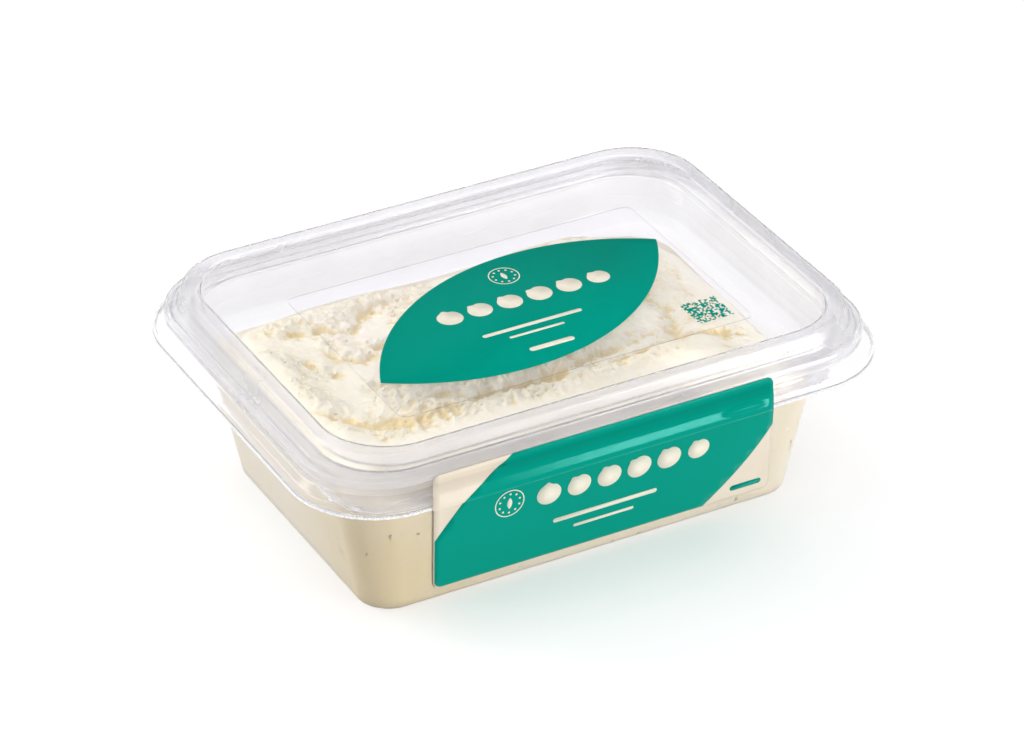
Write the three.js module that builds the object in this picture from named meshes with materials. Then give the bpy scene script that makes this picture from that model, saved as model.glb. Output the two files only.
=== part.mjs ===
// A rectangular clear tub of hummus, shut with a clear press-on lid and closed by two labels.
// Units are millimetres, +Z is up, and the origin is at the middle of the tub's underside.
// X runs along the long side, and the front with its label faces towards -Y.

import * as THREE from 'three';

// Tub: half length, half width, corner radius and height at each step of its outer wall
const BASE = { a: 72.5, b: 47.9, r: 9.4, z: 0 };
const BASE_FILLET = { a: 73.75, b: 49.15, r: 10.6, z: 0.4 };
const WALL_FOOT = { a: 74.1, b: 49.5, r: 10.9, z: 1.6 };
const WALL_TOP = { a: 82.35, b: 54.65, r: 14.4, z: 42.2 };
const SHOULDER_EDGE = { a: 86.0, b: 61.7, r: 20.6, z: 43.4 };
const COLLAR_FOOT = { a: 86.5, b: 62.2, r: 21.0, z: 44.4 };
const COLLAR_TOP = { a: 86.8, b: 62.5, r: 21.2, z: 58.3 };
const FLANGE_OUT = 5.6;
const RIM_WALL = 0.7;
const RIM_DROP = 1.5;
const FLANGE_TOP = 58.9;
const TUB_WALL = 0.6;
const TUB_FLOOR = 0.7;

// Lid: upper side from the recessed panel over the ridge and the snap bead to the lip
const LID_UPPER = [
  { a: 83.3, b: 59.4, r: 20.6, z: 58.6 },
  { a: 83.9, b: 60.0, r: 21.0, z: 59.1 },
  { a: 84.3, b: 60.3, r: 21.2, z: 65.4 },
  { a: 84.9, b: 60.8, r: 21.5, z: 66.1 },
  { a: 88.9, b: 64.3, r: 22.6, z: 66.2 },
  { a: 89.5, b: 64.9, r: 23.0, z: 65.6 },
  { a: 91.2, b: 66.1, r: 24.0, z: 60.3 },
  { a: 91.8, b: 66.7, r: 24.3, z: 59.8 },
  { a: 93.8, b: 68.6, r: 25.3, z: 59.7 },
  { a: 94.3, b: 69.1, r: 25.5, z: 59.2 },
  { a: 94.6, b: 69.4, r: 25.7, z: 57.4 },
  { a: 94.2, b: 69.0, r: 25.6, z: 55.5 },
  { a: 94.7, b: 69.5, r: 26.0, z: 55.0 },
  { a: 96.8, b: 71.7, r: 27.2, z: 53.9 },
  { a: 97.4, b: 72.3, r: 27.5, z: 53.2 },
  { a: 98.0, b: 73.0, r: 28.0, z: 49.8 },
];
// The underside, half a millimetre inside, from the panel out to the lip
const LID_UNDER = [
  { a: 83.7, b: 59.8, r: 20.9, z: 58.1 },
  { a: 84.4, b: 60.5, r: 21.4, z: 58.8 },
  { a: 84.8, b: 60.8, r: 21.6, z: 65.2 },
  { a: 85.2, b: 61.1, r: 21.8, z: 65.6 },
  { a: 88.6, b: 64.0, r: 22.4, z: 65.7 },
  { a: 89.0, b: 64.4, r: 22.6, z: 65.3 },
  { a: 90.7, b: 65.6, r: 23.6, z: 60.0 },
  { a: 91.5, b: 66.4, r: 24.1, z: 59.3 },
  { a: 93.5, b: 68.3, r: 25.1, z: 59.2 },
  { a: 93.8, b: 68.6, r: 25.2, z: 58.9 },
  { a: 94.1, b: 68.9, r: 25.3, z: 57.4 },
  { a: 93.7, b: 68.5, r: 25.2, z: 55.4 },
  { a: 94.2, b: 69.0, r: 25.6, z: 54.6 },
  { a: 96.5, b: 71.4, r: 27.0, z: 53.4 },
  { a: 96.9, b: 71.8, r: 27.1, z: 52.9 },
  { a: 97.5, b: 72.5, r: 27.6, z: 49.8 },
];

// Hummus: where it meets the wall, how high its middle stands, and how it falls at the right end
const CLEARANCE = 0.3;
const CONTACT_LEVEL = 41.6;
const CONTACT_DROP_FRONT = 6.6;
const CONTACT_DROP_BACK = 3.8;
const PLATEAU_LEVEL = 49.8;
const PLATEAU_DROP = 9.0;
const END_SLOPE = [40, 84];
const EDGE_ROUNDING = 15;

// Furrows and ridges drawn by the spoon: waypoints, half width, and height (below 0 is a furrow)
const STROKES = [
  { name: 'main crease', path: [[-52, -3], [-40, -12], [-24, -21], [-6, -26], [6, -25], [23, -20.5]], width: 3.6, height: -4.6 },
  { name: 'lip over the crease', path: [[-46, 2], [-30, -9], [-12, -17], [4, -19], [20, -15]], width: 5.5, height: 1.7 },
  { name: 'bank before the crease', path: [[-44, -24], [-24, -31], [-4, -34], [20, -32], [40, -30]], width: 6.5, height: 1.4 },
  { name: 'corner trench', path: [[-69, -17], [-61, -24.5], [-46, -28.5]], width: 3.6, height: -3.4 },
  { name: 'curled crest', path: [[-52, -14], [-44, -18.5], [-36, -22.5]], width: 3.2, height: 2.2 },
  { name: 'back furrow', path: [[-62, 34.5], [-47, 30.5], [-39, 30], [-28, 33]], width: 3.0, height: -2.4 },
  { name: 'fold above the furrow', path: [[-60, 40], [-44, 37], [-28, 39.5]], width: 4.2, height: 1.2 },
  { name: 'left bank', path: [[-73, 24], [-73, -1], [-69, -24]], width: 5.5, height: 1.5 },
  { name: 'crack', path: [[-51, 18], [-46.5, 10.7], [-38, 14.5]], width: 2.6, height: -2.0 },
  { name: 'swirl behind the middle', path: [[-26, 8], [-4, 18], [20, 16], [38, 4]], width: 5.0, height: -2.4 },
  { name: 'swirl ridge', path: [[-24, 17], [0, 27], [26, 24], [46, 10]], width: 5.5, height: 1.6 },
  { name: 'right furrow', path: [[36, 30], [50, 14], [52, -6], [47, -20]], width: 3.6, height: -2.6 },
  { name: 'right crest', path: [[46, 34], [60, 14], [60, -8], [57, -22]], width: 4.4, height: 1.8 },
];
// Lumps and hollows: centre, radius and height
const LUMPS = [
  { x: 4, y: -21.5, radius: 4.2, height: 2.0 },
  { x: 14.5, y: -20.5, radius: 3.8, height: 2.2 },
  { x: 25, y: -18, radius: 4.2, height: 1.8 },
  { x: -60.7, y: 17.2, radius: 3.0, height: -1.5 },
  { x: -55.5, y: 7.2, radius: 3.4, height: -1.6 },
  { x: 53, y: -27, radius: 4.0, height: 1.8 },
  { x: 62, y: -25, radius: 3.6, height: -2.0 },
  { x: 66, y: -45.5, radius: 5.5, height: 4.6 },
];
const ROUGHNESS = [{ size: 15, height: 1.1 }, { size: 7, height: 0.6 }];
const ROUGHNESS_SEED = 11;

// Front label: its course over the bead, skirt and lip, across the gap, and down the tub's front
const LABEL_THICKNESS = 0.25;
const LABEL_LEFT_ON_LID = [-63.8, -65.9];
const LABEL_RIGHT_ON_LID = [51.2, 49.1];
const LABEL_LEFT_ON_TUB = [-55.8, -54.2];
const LABEL_RIGHT_ON_TUB = [61.4, 62.8];
const LABEL_TOP = 58.6;
const LABEL_ON_WALL = 35.8;
const LABEL_BOTTOM = 4.4;
const LABEL_CORNER = 2.6;

// Lid label: a clear film on the recessed panel
const FILM = { left: -57.8, right: 63.8, front: -37.8, back: 39.8, corner: 3, thickness: 0.15 };

// Fineness: points on each corner and along the sides
const CORNER_STEPS = 8;
const HUMMUS_STEPS = { corner: 7, long: 30, short: 19 };
const HUMMUS_RINGS = 16;

// Points anticlockwise round a rectangle of half sizes a and b with corners of radius r
function outline(rect, steps) {
  const points = [];
  const corners = [[1, 1, 0], [-1, 1, 1], [-1, -1, 2], [1, -1, 3]];
  corners.forEach(([sx, sy, quarter], index) => {
    const centre = new THREE.Vector2(sx * (rect.a - rect.r), sy * (rect.b - rect.r));
    for (let k = 0; k <= steps.corner; k += 1) {
      const angle = (quarter + k / steps.corner) * Math.PI / 2;
      points.push(new THREE.Vector2(Math.cos(angle), Math.sin(angle)).multiplyScalar(rect.r).add(centre));
    }
    const side = index % 2 === 0 ? steps.long : steps.short;
    const from = points[points.length - 1];
    const next = corners[(index + 1) % 4];
    const turn = next[2] * Math.PI / 2;
    const to = new THREE.Vector2(
      next[0] * (rect.a - rect.r) + rect.r * Math.cos(turn),
      next[1] * (rect.b - rect.r) + rect.r * Math.sin(turn),
    );
    for (let k = 1; k < side; k += 1) {
      points.push(from.clone().lerp(to, k / side));
    }
  });
  return points;
}

function geometryOf(vertices, triangles) {
  const geometry = new THREE.BufferGeometry();
  geometry.setAttribute('position', new THREE.Float32BufferAttribute(vertices.flatMap((v) => v.toArray()), 3));
  geometry.setIndex(triangles.flat());
  geometry.computeVertexNormals();
  return geometry;
}

// A closed skin over rings of equal length: it starts with a lower cap and ends with an upper one
function skinOver(rings) {
  const count = rings[0].length;
  const vertices = rings.flat();
  const triangles = [];
  for (let j = 0; j + 1 < rings.length; j += 1) {
    for (let i = 0; i < count; i += 1) {
      const k = (i + 1) % count;
      const [p, q, s, t] = [j * count + i, j * count + k, (j + 1) * count + k, (j + 1) * count + i];
      triangles.push([p, q, s], [p, s, t]);
    }
  }
  const last = (rings.length - 1) * count;
  const lowCentre = vertices.push(middleOf(rings[0])) - 1;
  const highCentre = vertices.push(middleOf(rings[rings.length - 1])) - 1;
  for (let i = 0; i < count; i += 1) {
    const k = (i + 1) % count;
    triangles.push([k, i, lowCentre], [last + i, last + k, highCentre]);
  }
  return geometryOf(vertices, triangles);
}

function middleOf(ring) {
  const sum = ring.reduce((total, v) => total.add(v), new THREE.Vector3());
  return sum.divideScalar(ring.length);
}

function ringAt(rect, steps) {
  return outline(rect, steps).map((p) => new THREE.Vector3(p.x, p.y, rect.z));
}

function inside(rect, inset, z = rect.z) {
  return { a: rect.a - inset, b: rect.b - inset, r: rect.r - inset, z };
}

function between(low, high, z) {
  const t = (z - low.z) / (high.z - low.z);
  const mix = (key) => low[key] + (high[key] - low[key]) * t;
  return { a: mix('a'), b: mix('b'), r: mix('r'), z };
}

function smooth(low, high, value) {
  return THREE.MathUtils.smoothstep(value, low, high);
}

function makeTub() {
  const flange = { a: COLLAR_TOP.a + FLANGE_OUT, b: COLLAR_TOP.b + FLANGE_OUT - 0.4, r: COLLAR_TOP.r + 3.6 };
  const rimFoot = COLLAR_TOP.z - RIM_DROP;
  const outer = [
    BASE, BASE_FILLET, WALL_FOOT, WALL_TOP, SHOULDER_EDGE, COLLAR_FOOT, COLLAR_TOP,
    { ...flange, z: COLLAR_TOP.z },
    { ...flange, z: rimFoot },
    { ...inside(flange, -RIM_WALL), z: rimFoot },
    { ...inside(flange, -RIM_WALL), z: FLANGE_TOP },
  ];
  const floorCorner = inside(WALL_FOOT, TUB_WALL, WALL_FOOT.z + 0.2);
  const inner = [
    inside(COLLAR_TOP, TUB_WALL, FLANGE_TOP),
    inside(COLLAR_TOP, TUB_WALL, COLLAR_TOP.z - 0.3),
    inside(COLLAR_FOOT, TUB_WALL, COLLAR_FOOT.z + 0.3),
    inside(SHOULDER_EDGE, TUB_WALL, SHOULDER_EDGE.z + 0.5),
    inside(WALL_TOP, TUB_WALL, WALL_TOP.z + 0.5),
    floorCorner,
    inside(BASE, TUB_WALL - 0.4, TUB_FLOOR),
  ];
  const steps = { corner: CORNER_STEPS, long: 1, short: 1 };
  return skinOver([...outer, ...inner].map((rect) => ringAt(rect, steps)));
}

function makeLid() {
  const steps = { corner: CORNER_STEPS, long: 1, short: 1 };
  const profile = [...LID_UNDER, ...[...LID_UPPER].reverse()];
  return skinOver(profile.map((rect) => ringAt(rect, steps)));
}

// Smooth random heights on a square lattice, the same on every run
function latticeValue(i, j, seed) {
  const wave = Math.sin(i * 127.1 + j * 311.7 + seed * 74.7) * 43758.5453;
  return 2 * (wave - Math.floor(wave)) - 1;
}

function randomRelief(x, y, size, seed) {
  const [u, v] = [x / size, y / size];
  const [i, j] = [Math.floor(u), Math.floor(v)];
  const [p, q] = [smooth(0, 1, u - i), smooth(0, 1, v - j)];
  const near = THREE.MathUtils.lerp(latticeValue(i, j, seed), latticeValue(i + 1, j, seed), p);
  const far = THREE.MathUtils.lerp(latticeValue(i, j + 1, seed), latticeValue(i + 1, j + 1, seed), p);
  return THREE.MathUtils.lerp(near, far, q);
}

function distanceToPath(point, path) {
  let nearest = Infinity;
  for (let k = 0; k + 1 < path.length; k += 1) {
    const from = new THREE.Vector2(...path[k]);
    const along = new THREE.Vector2(...path[k + 1]).sub(from);
    const share = THREE.MathUtils.clamp(point.clone().sub(from).dot(along) / along.lengthSq(), 0, 1);
    nearest = Math.min(nearest, point.distanceTo(from.addScaledVector(along, share)));
  }
  return nearest;
}

function bell(distance, width) {
  return Math.exp(-((distance / width) ** 2));
}

// How far a point lies inside the hummus's outline at the level where it meets the wall
function depthInside(x, y) {
  const rect = inside(between(WALL_FOOT, WALL_TOP, CONTACT_LEVEL), TUB_WALL + CLEARANCE);
  const dx = Math.abs(x) - (rect.a - rect.r);
  const dy = Math.abs(y) - (rect.b - rect.r);
  const outside = Math.hypot(Math.max(dx, 0), Math.max(dy, 0)) + Math.min(Math.max(dx, dy), 0);
  return rect.r - outside;
}

function contactLevel(x, y) {
  const drop = THREE.MathUtils.lerp(CONTACT_DROP_FRONT, CONTACT_DROP_BACK, smooth(-50, 50, y));
  return CONTACT_LEVEL - drop * smooth(END_SLOPE[0], END_SLOPE[1] - 4, x);
}

function hummusLevel(x, y) {
  const contact = contactLevel(x, y);
  const plateau = PLATEAU_LEVEL - PLATEAU_DROP * smooth(END_SLOPE[0], END_SLOPE[1], x);
  const share = THREE.MathUtils.clamp(depthInside(x, y) / EDGE_ROUNDING, 0, 1);
  const rise = 1 - (1 - share) ** 2;
  const point = new THREE.Vector2(x, y);
  let relief = 0;
  STROKES.forEach((stroke) => {
    relief += stroke.height * bell(distanceToPath(point, stroke.path), stroke.width);
  });
  LUMPS.forEach((lump) => {
    relief += lump.height * bell(Math.hypot(x - lump.x, y - lump.y), lump.radius);
  });
  ROUGHNESS.forEach((layer, index) => {
    relief += layer.height * randomRelief(x, y, layer.size, ROUGHNESS_SEED + index);
  });
  return contact + (plateau - contact) * rise + relief * smooth(0, 0.4, share);
}

function makeHummus() {
  const gap = TUB_WALL + CLEARANCE;
  const bottom = TUB_FLOOR + CLEARANCE;
  const wallAt = (z) => inside(between(WALL_FOOT, WALL_TOP, z), gap);
  const footPoints = outline({ ...inside(BASE, gap - 0.2), z: bottom }, HUMMUS_STEPS);
  const cornerPoints = outline(wallAt(WALL_FOOT.z + 0.6), HUMMUS_STEPS);
  const topPoints = outline(wallAt(CONTACT_LEVEL), HUMMUS_STEPS);
  const levels = topPoints.map((p) => contactLevel(p.x, p.y));
  const rings = [
    footPoints.map((p) => new THREE.Vector3(p.x, p.y, bottom)),
    cornerPoints.map((p) => new THREE.Vector3(p.x, p.y, WALL_FOOT.z + 0.6)),
  ];
  [0.35, 0.7, 1].forEach((share) => {
    rings.push(topPoints.map((p, i) => {
      const z = THREE.MathUtils.lerp(WALL_FOOT.z + 0.6, levels[i], share);
      const along = (z - WALL_FOOT.z - 0.6) / (CONTACT_LEVEL - WALL_FOOT.z - 0.6);
      const place = cornerPoints[i].clone().lerp(p, along);
      return new THREE.Vector3(place.x, place.y, z);
    }));
  });
  const rim = rings[rings.length - 1];
  for (let j = 1; j < HUMMUS_RINGS; j += 1) {
    const scale = 1 - j / HUMMUS_RINGS;
    rings.push(rim.map((v) => {
      const [x, y] = [v.x * scale, v.y * scale];
      return new THREE.Vector3(x, y, hummusLevel(x, y));
    }));
  }
  return skinOver(rings);
}

// Stations down the front label: place, and how far it reaches to the left and right
function labelCourse() {
  const onLid = (rect, z = rect.z) => ({ y: -(rect.b + CLEARANCE), z });
  const bead = LID_UPPER[10];
  const groove = LID_UPPER[11];
  const skirt = LID_UPPER[13];
  const lip = LID_UPPER[14];
  const edge = LID_UPPER[15];
  const lean = (y) => (-y - CLEARANCE - LID_UPPER[9].b) / (edge.b - LID_UPPER[9].b);
  const lidPart = [
    onLid(LID_UPPER[9], LABEL_TOP), onLid(bead), onLid(groove, groove.z + 0.35), onLid(skirt, skirt.z + 0.3),
    onLid(lip, lip.z + 0.1), onLid(edge, edge.z - 0.2),
  ].map((station) => ({
    ...station,
    left: THREE.MathUtils.lerp(...LABEL_LEFT_ON_LID, lean(station.y)),
    right: THREE.MathUtils.lerp(...LABEL_RIGHT_ON_LID, lean(station.y)),
  }));
  lidPart[0].left += 0.5;
  lidPart[0].right -= 1.4;
  const wallY = (z) => -(between(WALL_FOOT, WALL_TOP, z).b + CLEARANCE);
  const shoulder = { y: -(SHOULDER_EDGE.b + CLEARANCE), z: SHOULDER_EDGE.z - 0.4 };
  const share = (lidPart[5].z - shoulder.z) / (lidPart[5].z - LABEL_ON_WALL);
  shoulder.left = THREE.MathUtils.lerp(LABEL_LEFT_ON_LID[1], LABEL_LEFT_ON_TUB[0], share);
  shoulder.right = THREE.MathUtils.lerp(LABEL_RIGHT_ON_LID[1], LABEL_RIGHT_ON_TUB[0], share);
  const wallPart = [];
  const corner = LABEL_CORNER;
  const levels = [LABEL_ON_WALL, LABEL_BOTTOM + corner];
  [0.3, 0.6, 0.85, 1].forEach((part) => levels.push(LABEL_BOTTOM + corner * (1 - part)));
  levels.forEach((z) => {
    const along = (LABEL_ON_WALL - z) / (LABEL_ON_WALL - LABEL_BOTTOM);
    const below = Math.max(0, LABEL_BOTTOM + corner - z);
    const cut = corner - Math.sqrt(Math.max(0, corner ** 2 - below ** 2));
    wallPart.push({
      y: wallY(z),
      z,
      left: THREE.MathUtils.lerp(...LABEL_LEFT_ON_TUB, along) + cut,
      right: THREE.MathUtils.lerp(...LABEL_RIGHT_ON_TUB, along) - cut,
    });
  });
  return [...lidPart, shoulder, ...wallPart];
}

// A thin band that follows stations from its top to its bottom, with its back on their course
function makeFrontLabel() {
  const course = labelCourse();
  const place = (station) => new THREE.Vector2(station.y, station.z);
  const outwards = course.map((station, i) => {
    const before = place(course[Math.max(0, i - 1)]);
    const after = place(course[Math.min(course.length - 1, i + 1)]);
    const along = after.sub(before).normalize();
    return new THREE.Vector2(along.y, -along.x);
  });
  const vertices = [];
  course.forEach((station, i) => {
    const front = place(station).addScaledVector(outwards[i], LABEL_THICKNESS);
    vertices.push(
      new THREE.Vector3(station.left, front.x, front.y),
      new THREE.Vector3(station.right, front.x, front.y),
      new THREE.Vector3(station.right, station.y, station.z),
      new THREE.Vector3(station.left, station.y, station.z),
    );
  });
  const triangles = [[0, 1, 2], [0, 2, 3]];
  for (let j = 0; j + 1 < course.length; j += 1) {
    for (let i = 0; i < 4; i += 1) {
      const k = (i + 1) % 4;
      const [p, q, s, t] = [j * 4 + i, j * 4 + k, (j + 1) * 4 + k, (j + 1) * 4 + i];
      triangles.push([p, s, q], [p, t, s]);
    }
  }
  const last = (course.length - 1) * 4;
  triangles.push([last, last + 2, last + 1], [last, last + 3, last + 2]);
  return geometryOf(vertices, triangles);
}

function makeLidLabel() {
  const shape = new THREE.Shape();
  const { left, right, front, back, corner } = FILM;
  shape.moveTo(left + corner, front);
  shape.lineTo(right - corner, front);
  shape.absarc(right - corner, front + corner, corner, -Math.PI / 2, 0);
  shape.lineTo(right, back - corner);
  shape.absarc(right - corner, back - corner, corner, 0, Math.PI / 2);
  shape.lineTo(left + corner, back);
  shape.absarc(left + corner, back - corner, corner, Math.PI / 2, Math.PI);
  shape.lineTo(left, front + corner);
  shape.absarc(left + corner, front + corner, corner, Math.PI, Math.PI * 1.5);
  const film = new THREE.ExtrudeGeometry(shape, { depth: FILM.thickness, bevelEnabled: false, curveSegments: 5 });
  film.translate(0, 0, LID_UPPER[0].z + CLEARANCE);
  return film;
}

const clearPlastic = { color: 0xf0f0f4, roughness: 0.08, metalness: 0, transparent: true, opacity: 0.35 };

const PIECES = [
  { name: 'tub', geometry: makeTub(), finish: clearPlastic },
  { name: 'hummus', geometry: makeHummus(), finish: { color: 0xf1e9d8, roughness: 0.55, metalness: 0 } },
  { name: 'lid', geometry: makeLid(), finish: clearPlastic },
  { name: 'label_front', geometry: makeFrontLabel(), finish: { color: 0x028a78, roughness: 0.3, metalness: 0 } },
  { name: 'label_top', geometry: makeLidLabel(), finish: { color: 0x028a78, roughness: 0.3, metalness: 0 } },
];

const pack = new THREE.Group();
PIECES.forEach(({ name, geometry, finish }) => {
  const mesh = new THREE.Mesh(geometry, new THREE.MeshStandardMaterial(finish));
  mesh.name = name;
  pack.add(mesh);
});

export default pack;
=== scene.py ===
"""A clear tub of hummus with a press-on lid, a film label on top and a sticker down its front.

Sizes in the classes are real millimetres. Meshes are in metres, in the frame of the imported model: the
origin is under the middle of the tub, X runs along the long side and the front faces -Y.
"""

import logging
import math
from dataclasses import dataclass, field
from enum import Enum, IntEnum
from typing import Any, Callable, Sequence

import bmesh
import bpy
import numpy as np
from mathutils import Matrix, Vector


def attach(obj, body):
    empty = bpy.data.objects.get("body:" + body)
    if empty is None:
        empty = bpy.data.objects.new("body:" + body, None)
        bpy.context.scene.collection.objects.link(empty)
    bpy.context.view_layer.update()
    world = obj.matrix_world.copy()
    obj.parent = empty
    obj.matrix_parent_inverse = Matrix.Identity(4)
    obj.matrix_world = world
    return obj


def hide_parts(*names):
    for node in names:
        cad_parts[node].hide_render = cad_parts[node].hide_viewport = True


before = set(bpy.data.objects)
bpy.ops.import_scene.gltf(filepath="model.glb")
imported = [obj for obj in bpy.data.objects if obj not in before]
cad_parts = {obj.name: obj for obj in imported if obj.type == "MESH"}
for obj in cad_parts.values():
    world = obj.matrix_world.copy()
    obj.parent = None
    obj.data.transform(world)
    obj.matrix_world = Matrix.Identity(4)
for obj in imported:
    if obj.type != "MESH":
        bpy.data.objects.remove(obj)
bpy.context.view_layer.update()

MM = 0.001
BODY = "root"

Tone = tuple[float, float, float, float]
Spot = tuple[float, float]
Place = tuple[float, float, float]
Way = tuple[Spot, ...]
Range = tuple[float, float]
Layers = tuple[tuple[float, float], ...]
Shape2D = tuple[np.ndarray, list[list[int]]]
Settings = dict[str, Any] | None
Sockets = dict[Any, Any] | None
Socket = bpy.types.NodeSocket
Material = bpy.types.Material

log = logging.getLogger("hummus_pack")


class Slot(Enum):
    """The record's material slots, one for each kind of piece."""

    TUB = "clear_tub"
    LID = "clear_lid"
    HUMMUS = "hummus"
    STICKER = "front_sticker"
    FILM = "film_label"


class Value:
    """A number that varies over a surface: a shader socket that takes part in plain arithmetic."""

    def __init__(self, shader: "Shader", socket: Socket) -> None:
        """Wraps an output socket of the shader's tree."""
        self.shader = shader
        self.socket = socket

    def _math(self, operation: str, first: Any, second: Any) -> "Value":
        """Adds one Math node.

        Args:
            operation: the Math node's operation.
            first: a value or a number.
            second: a value or a number.

        Returns:
            The node's result.
        """
        node = self.shader.node("ShaderNodeMath", {"operation": operation}, {0: first, 1: second})
        return Value(self.shader, node.outputs[0])

    def __add__(self, other: Any) -> "Value":
        """Sum."""
        return self._math("ADD", self, other)

    __radd__ = __add__

    def __sub__(self, other: Any) -> "Value":
        """Difference."""
        return self._math("SUBTRACT", self, other)

    def __rsub__(self, other: Any) -> "Value":
        """Difference the other way round."""
        return self._math("SUBTRACT", other, self)

    def __mul__(self, other: Any) -> "Value":
        """Product."""
        return self._math("MULTIPLY", self, other)

    __rmul__ = __mul__

    def ramp(self, low: float, high: float) -> "Value":
        """Rises smoothly from 0 at low to 1 at high."""
        sockets = {"Value": self, "From Min": low, "From Max": high}
        node = self.shader.node("ShaderNodeMapRange", {"interpolation_type": "SMOOTHSTEP"}, sockets)
        return Value(self.shader, node.outputs["Result"])

    def most(self, other: Any) -> "Value":
        """The larger of the two."""
        return self._math("MAXIMUM", self, other)


class NodeMaker:
    """Adds nodes to a tree: their settings first, then the values or links of their sockets."""

    tree: bpy.types.NodeTree

    def source(self, value: Any) -> Any:
        """The output socket that a value stands for, or the value itself."""
        return value.socket if isinstance(value, Value) else value

    def node(self, kind: str, settings: Settings = None, sockets: Sockets = None) -> Any:
        """Adds any node.

        Args:
            kind: the node's type.
            settings: properties set before its sockets.
            sockets: input socket name or number to what it gets: a constant, or something with a source.

        Returns:
            The node.
        """
        made = self.tree.nodes.new(kind)
        for key, value in (settings or {}).items():
            setattr(made, key, value)
        for key, value in (sockets or {}).items():
            source = self.source(value)
            if isinstance(source, Socket):
                self.tree.links.new(source, made.inputs[key])
            else:
                made.inputs[key].default_value = source
        return made


class Shader(NodeMaker):
    """Builds the node tree of one material or of the world."""

    def __init__(self, owner: Any) -> None:
        """Empties the tree of a material or a world and adds its output."""
        owner.use_nodes = True
        self.tree = owner.node_tree
        self.tree.nodes.clear()
        kind = "ShaderNodeOutputWorld" if isinstance(owner, bpy.types.World) else "ShaderNodeOutputMaterial"
        self.output = self.tree.nodes.new(kind)

    def place(self) -> Socket:
        """Object coordinates, in metres in the pack's own frame."""
        return self.node("ShaderNodeTexCoord").outputs["Object"]

    def stretched(self, scale: Place) -> Socket:
        """Object coordinates, multiplied along each axis."""
        return self.node("ShaderNodeMapping", None, {"Vector": self.place(), "Scale": scale}).outputs[0]

    def noise(self, size_mm: float, detail: float = 3.0, rough: float = 0.55) -> Value:
        """Soft random values from 0 to 1.

        Args:
            size_mm: width of the largest patches.
            detail: number of finer layers.
            rough: weight of the finer layers.

        Returns:
            The noise.
        """
        sockets = {"Vector": self.place(), "Scale": 1 / (size_mm * MM), "Detail": detail, "Roughness": rough}
        return Value(self, self.node("ShaderNodeTexNoise", None, sockets).outputs[0])

    def cells(self, size_mm: float, at: Socket | None = None) -> Value:
        """Distance to the nearest of many scattered points, 0 at a point and about 0.5 between them."""
        sockets = {"Vector": at or self.place(), "Scale": 1 / (size_mm * MM)}
        return Value(self, self.node("ShaderNodeTexVoronoi", None, sockets).outputs["Distance"])

    def attribute(self, name: str) -> Value:
        """A number stored on the mesh's points."""
        return Value(self, self.node("ShaderNodeAttribute", {"attribute_name": name}).outputs["Fac"])

    def blend(self, share: Any, first: Any, second: Any) -> Socket:
        """Mixes two colours.

        Args:
            share: 0 for the first, 1 for the second.
            first: a colour or a colour socket.
            second: a colour or a colour socket.

        Returns:
            The mixed colour.
        """
        mix = self.node("ShaderNodeMix", {"data_type": "RGBA"}, {0: share, 6: first, 7: second})
        return mix.outputs[2]

    def bump(self, height: Value, depth_mm: float, strength: float = 1.0) -> Socket:
        """Turns a height from 0 to 1 into a normal.

        Args:
            height: the relief.
            depth_mm: how deep it is.
            strength: its share.

        Returns:
            The normal.
        """
        sockets = {"Height": height, "Distance": depth_mm * MM, "Strength": strength}
        return self.node("ShaderNodeBump", None, sockets).outputs[0]

    def principled(self, sockets: dict[str, Any]) -> Socket:
        """Adds the main surface shader with its sockets."""
        return self.node("ShaderNodeBsdfPrincipled", None, sockets).outputs[0]

    def open_to_lamps(self, shader_socket: Socket, passing: Tone) -> Socket:
        """Lets the lamps shine through a surface, where it would otherwise cast a shadow.

        Args:
            shader_socket: the surface as it looks.
            passing: the tint of the light that goes through.

        Returns:
            The mixed shader.
        """
        through = self.node("ShaderNodeBsdfTransparent", None, {"Color": passing})
        lamps = self.node("ShaderNodeLightPath").outputs["Is Shadow Ray"]
        sockets = {0: lamps, 1: shader_socket, 2: through.outputs[0]}
        return self.node("ShaderNodeMixShader", None, sockets).outputs[0]

    def show(self, shader_socket: Socket) -> None:
        """Links what the owner shows."""
        self.tree.links.new(shader_socket, self.output.inputs["Surface"])


def colour(red: float, green: float, blue: float) -> Tone:
    """A linear colour with full alpha."""
    return (red, green, blue, 1.0)


@dataclass(frozen=True)
class Finish:
    """A named finish that builds its own material."""

    name: str

    def build(self) -> Material:
        """Makes the material and shows the finish's surface on it."""
        material = bpy.data.materials.new(self.name)
        shader = Shader(material)
        shader.show(self.surface(shader))
        return material

    def surface(self, shader: Shader) -> Socket:
        """Builds the surface shader in the material's tree."""
        raise NotImplementedError


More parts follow.
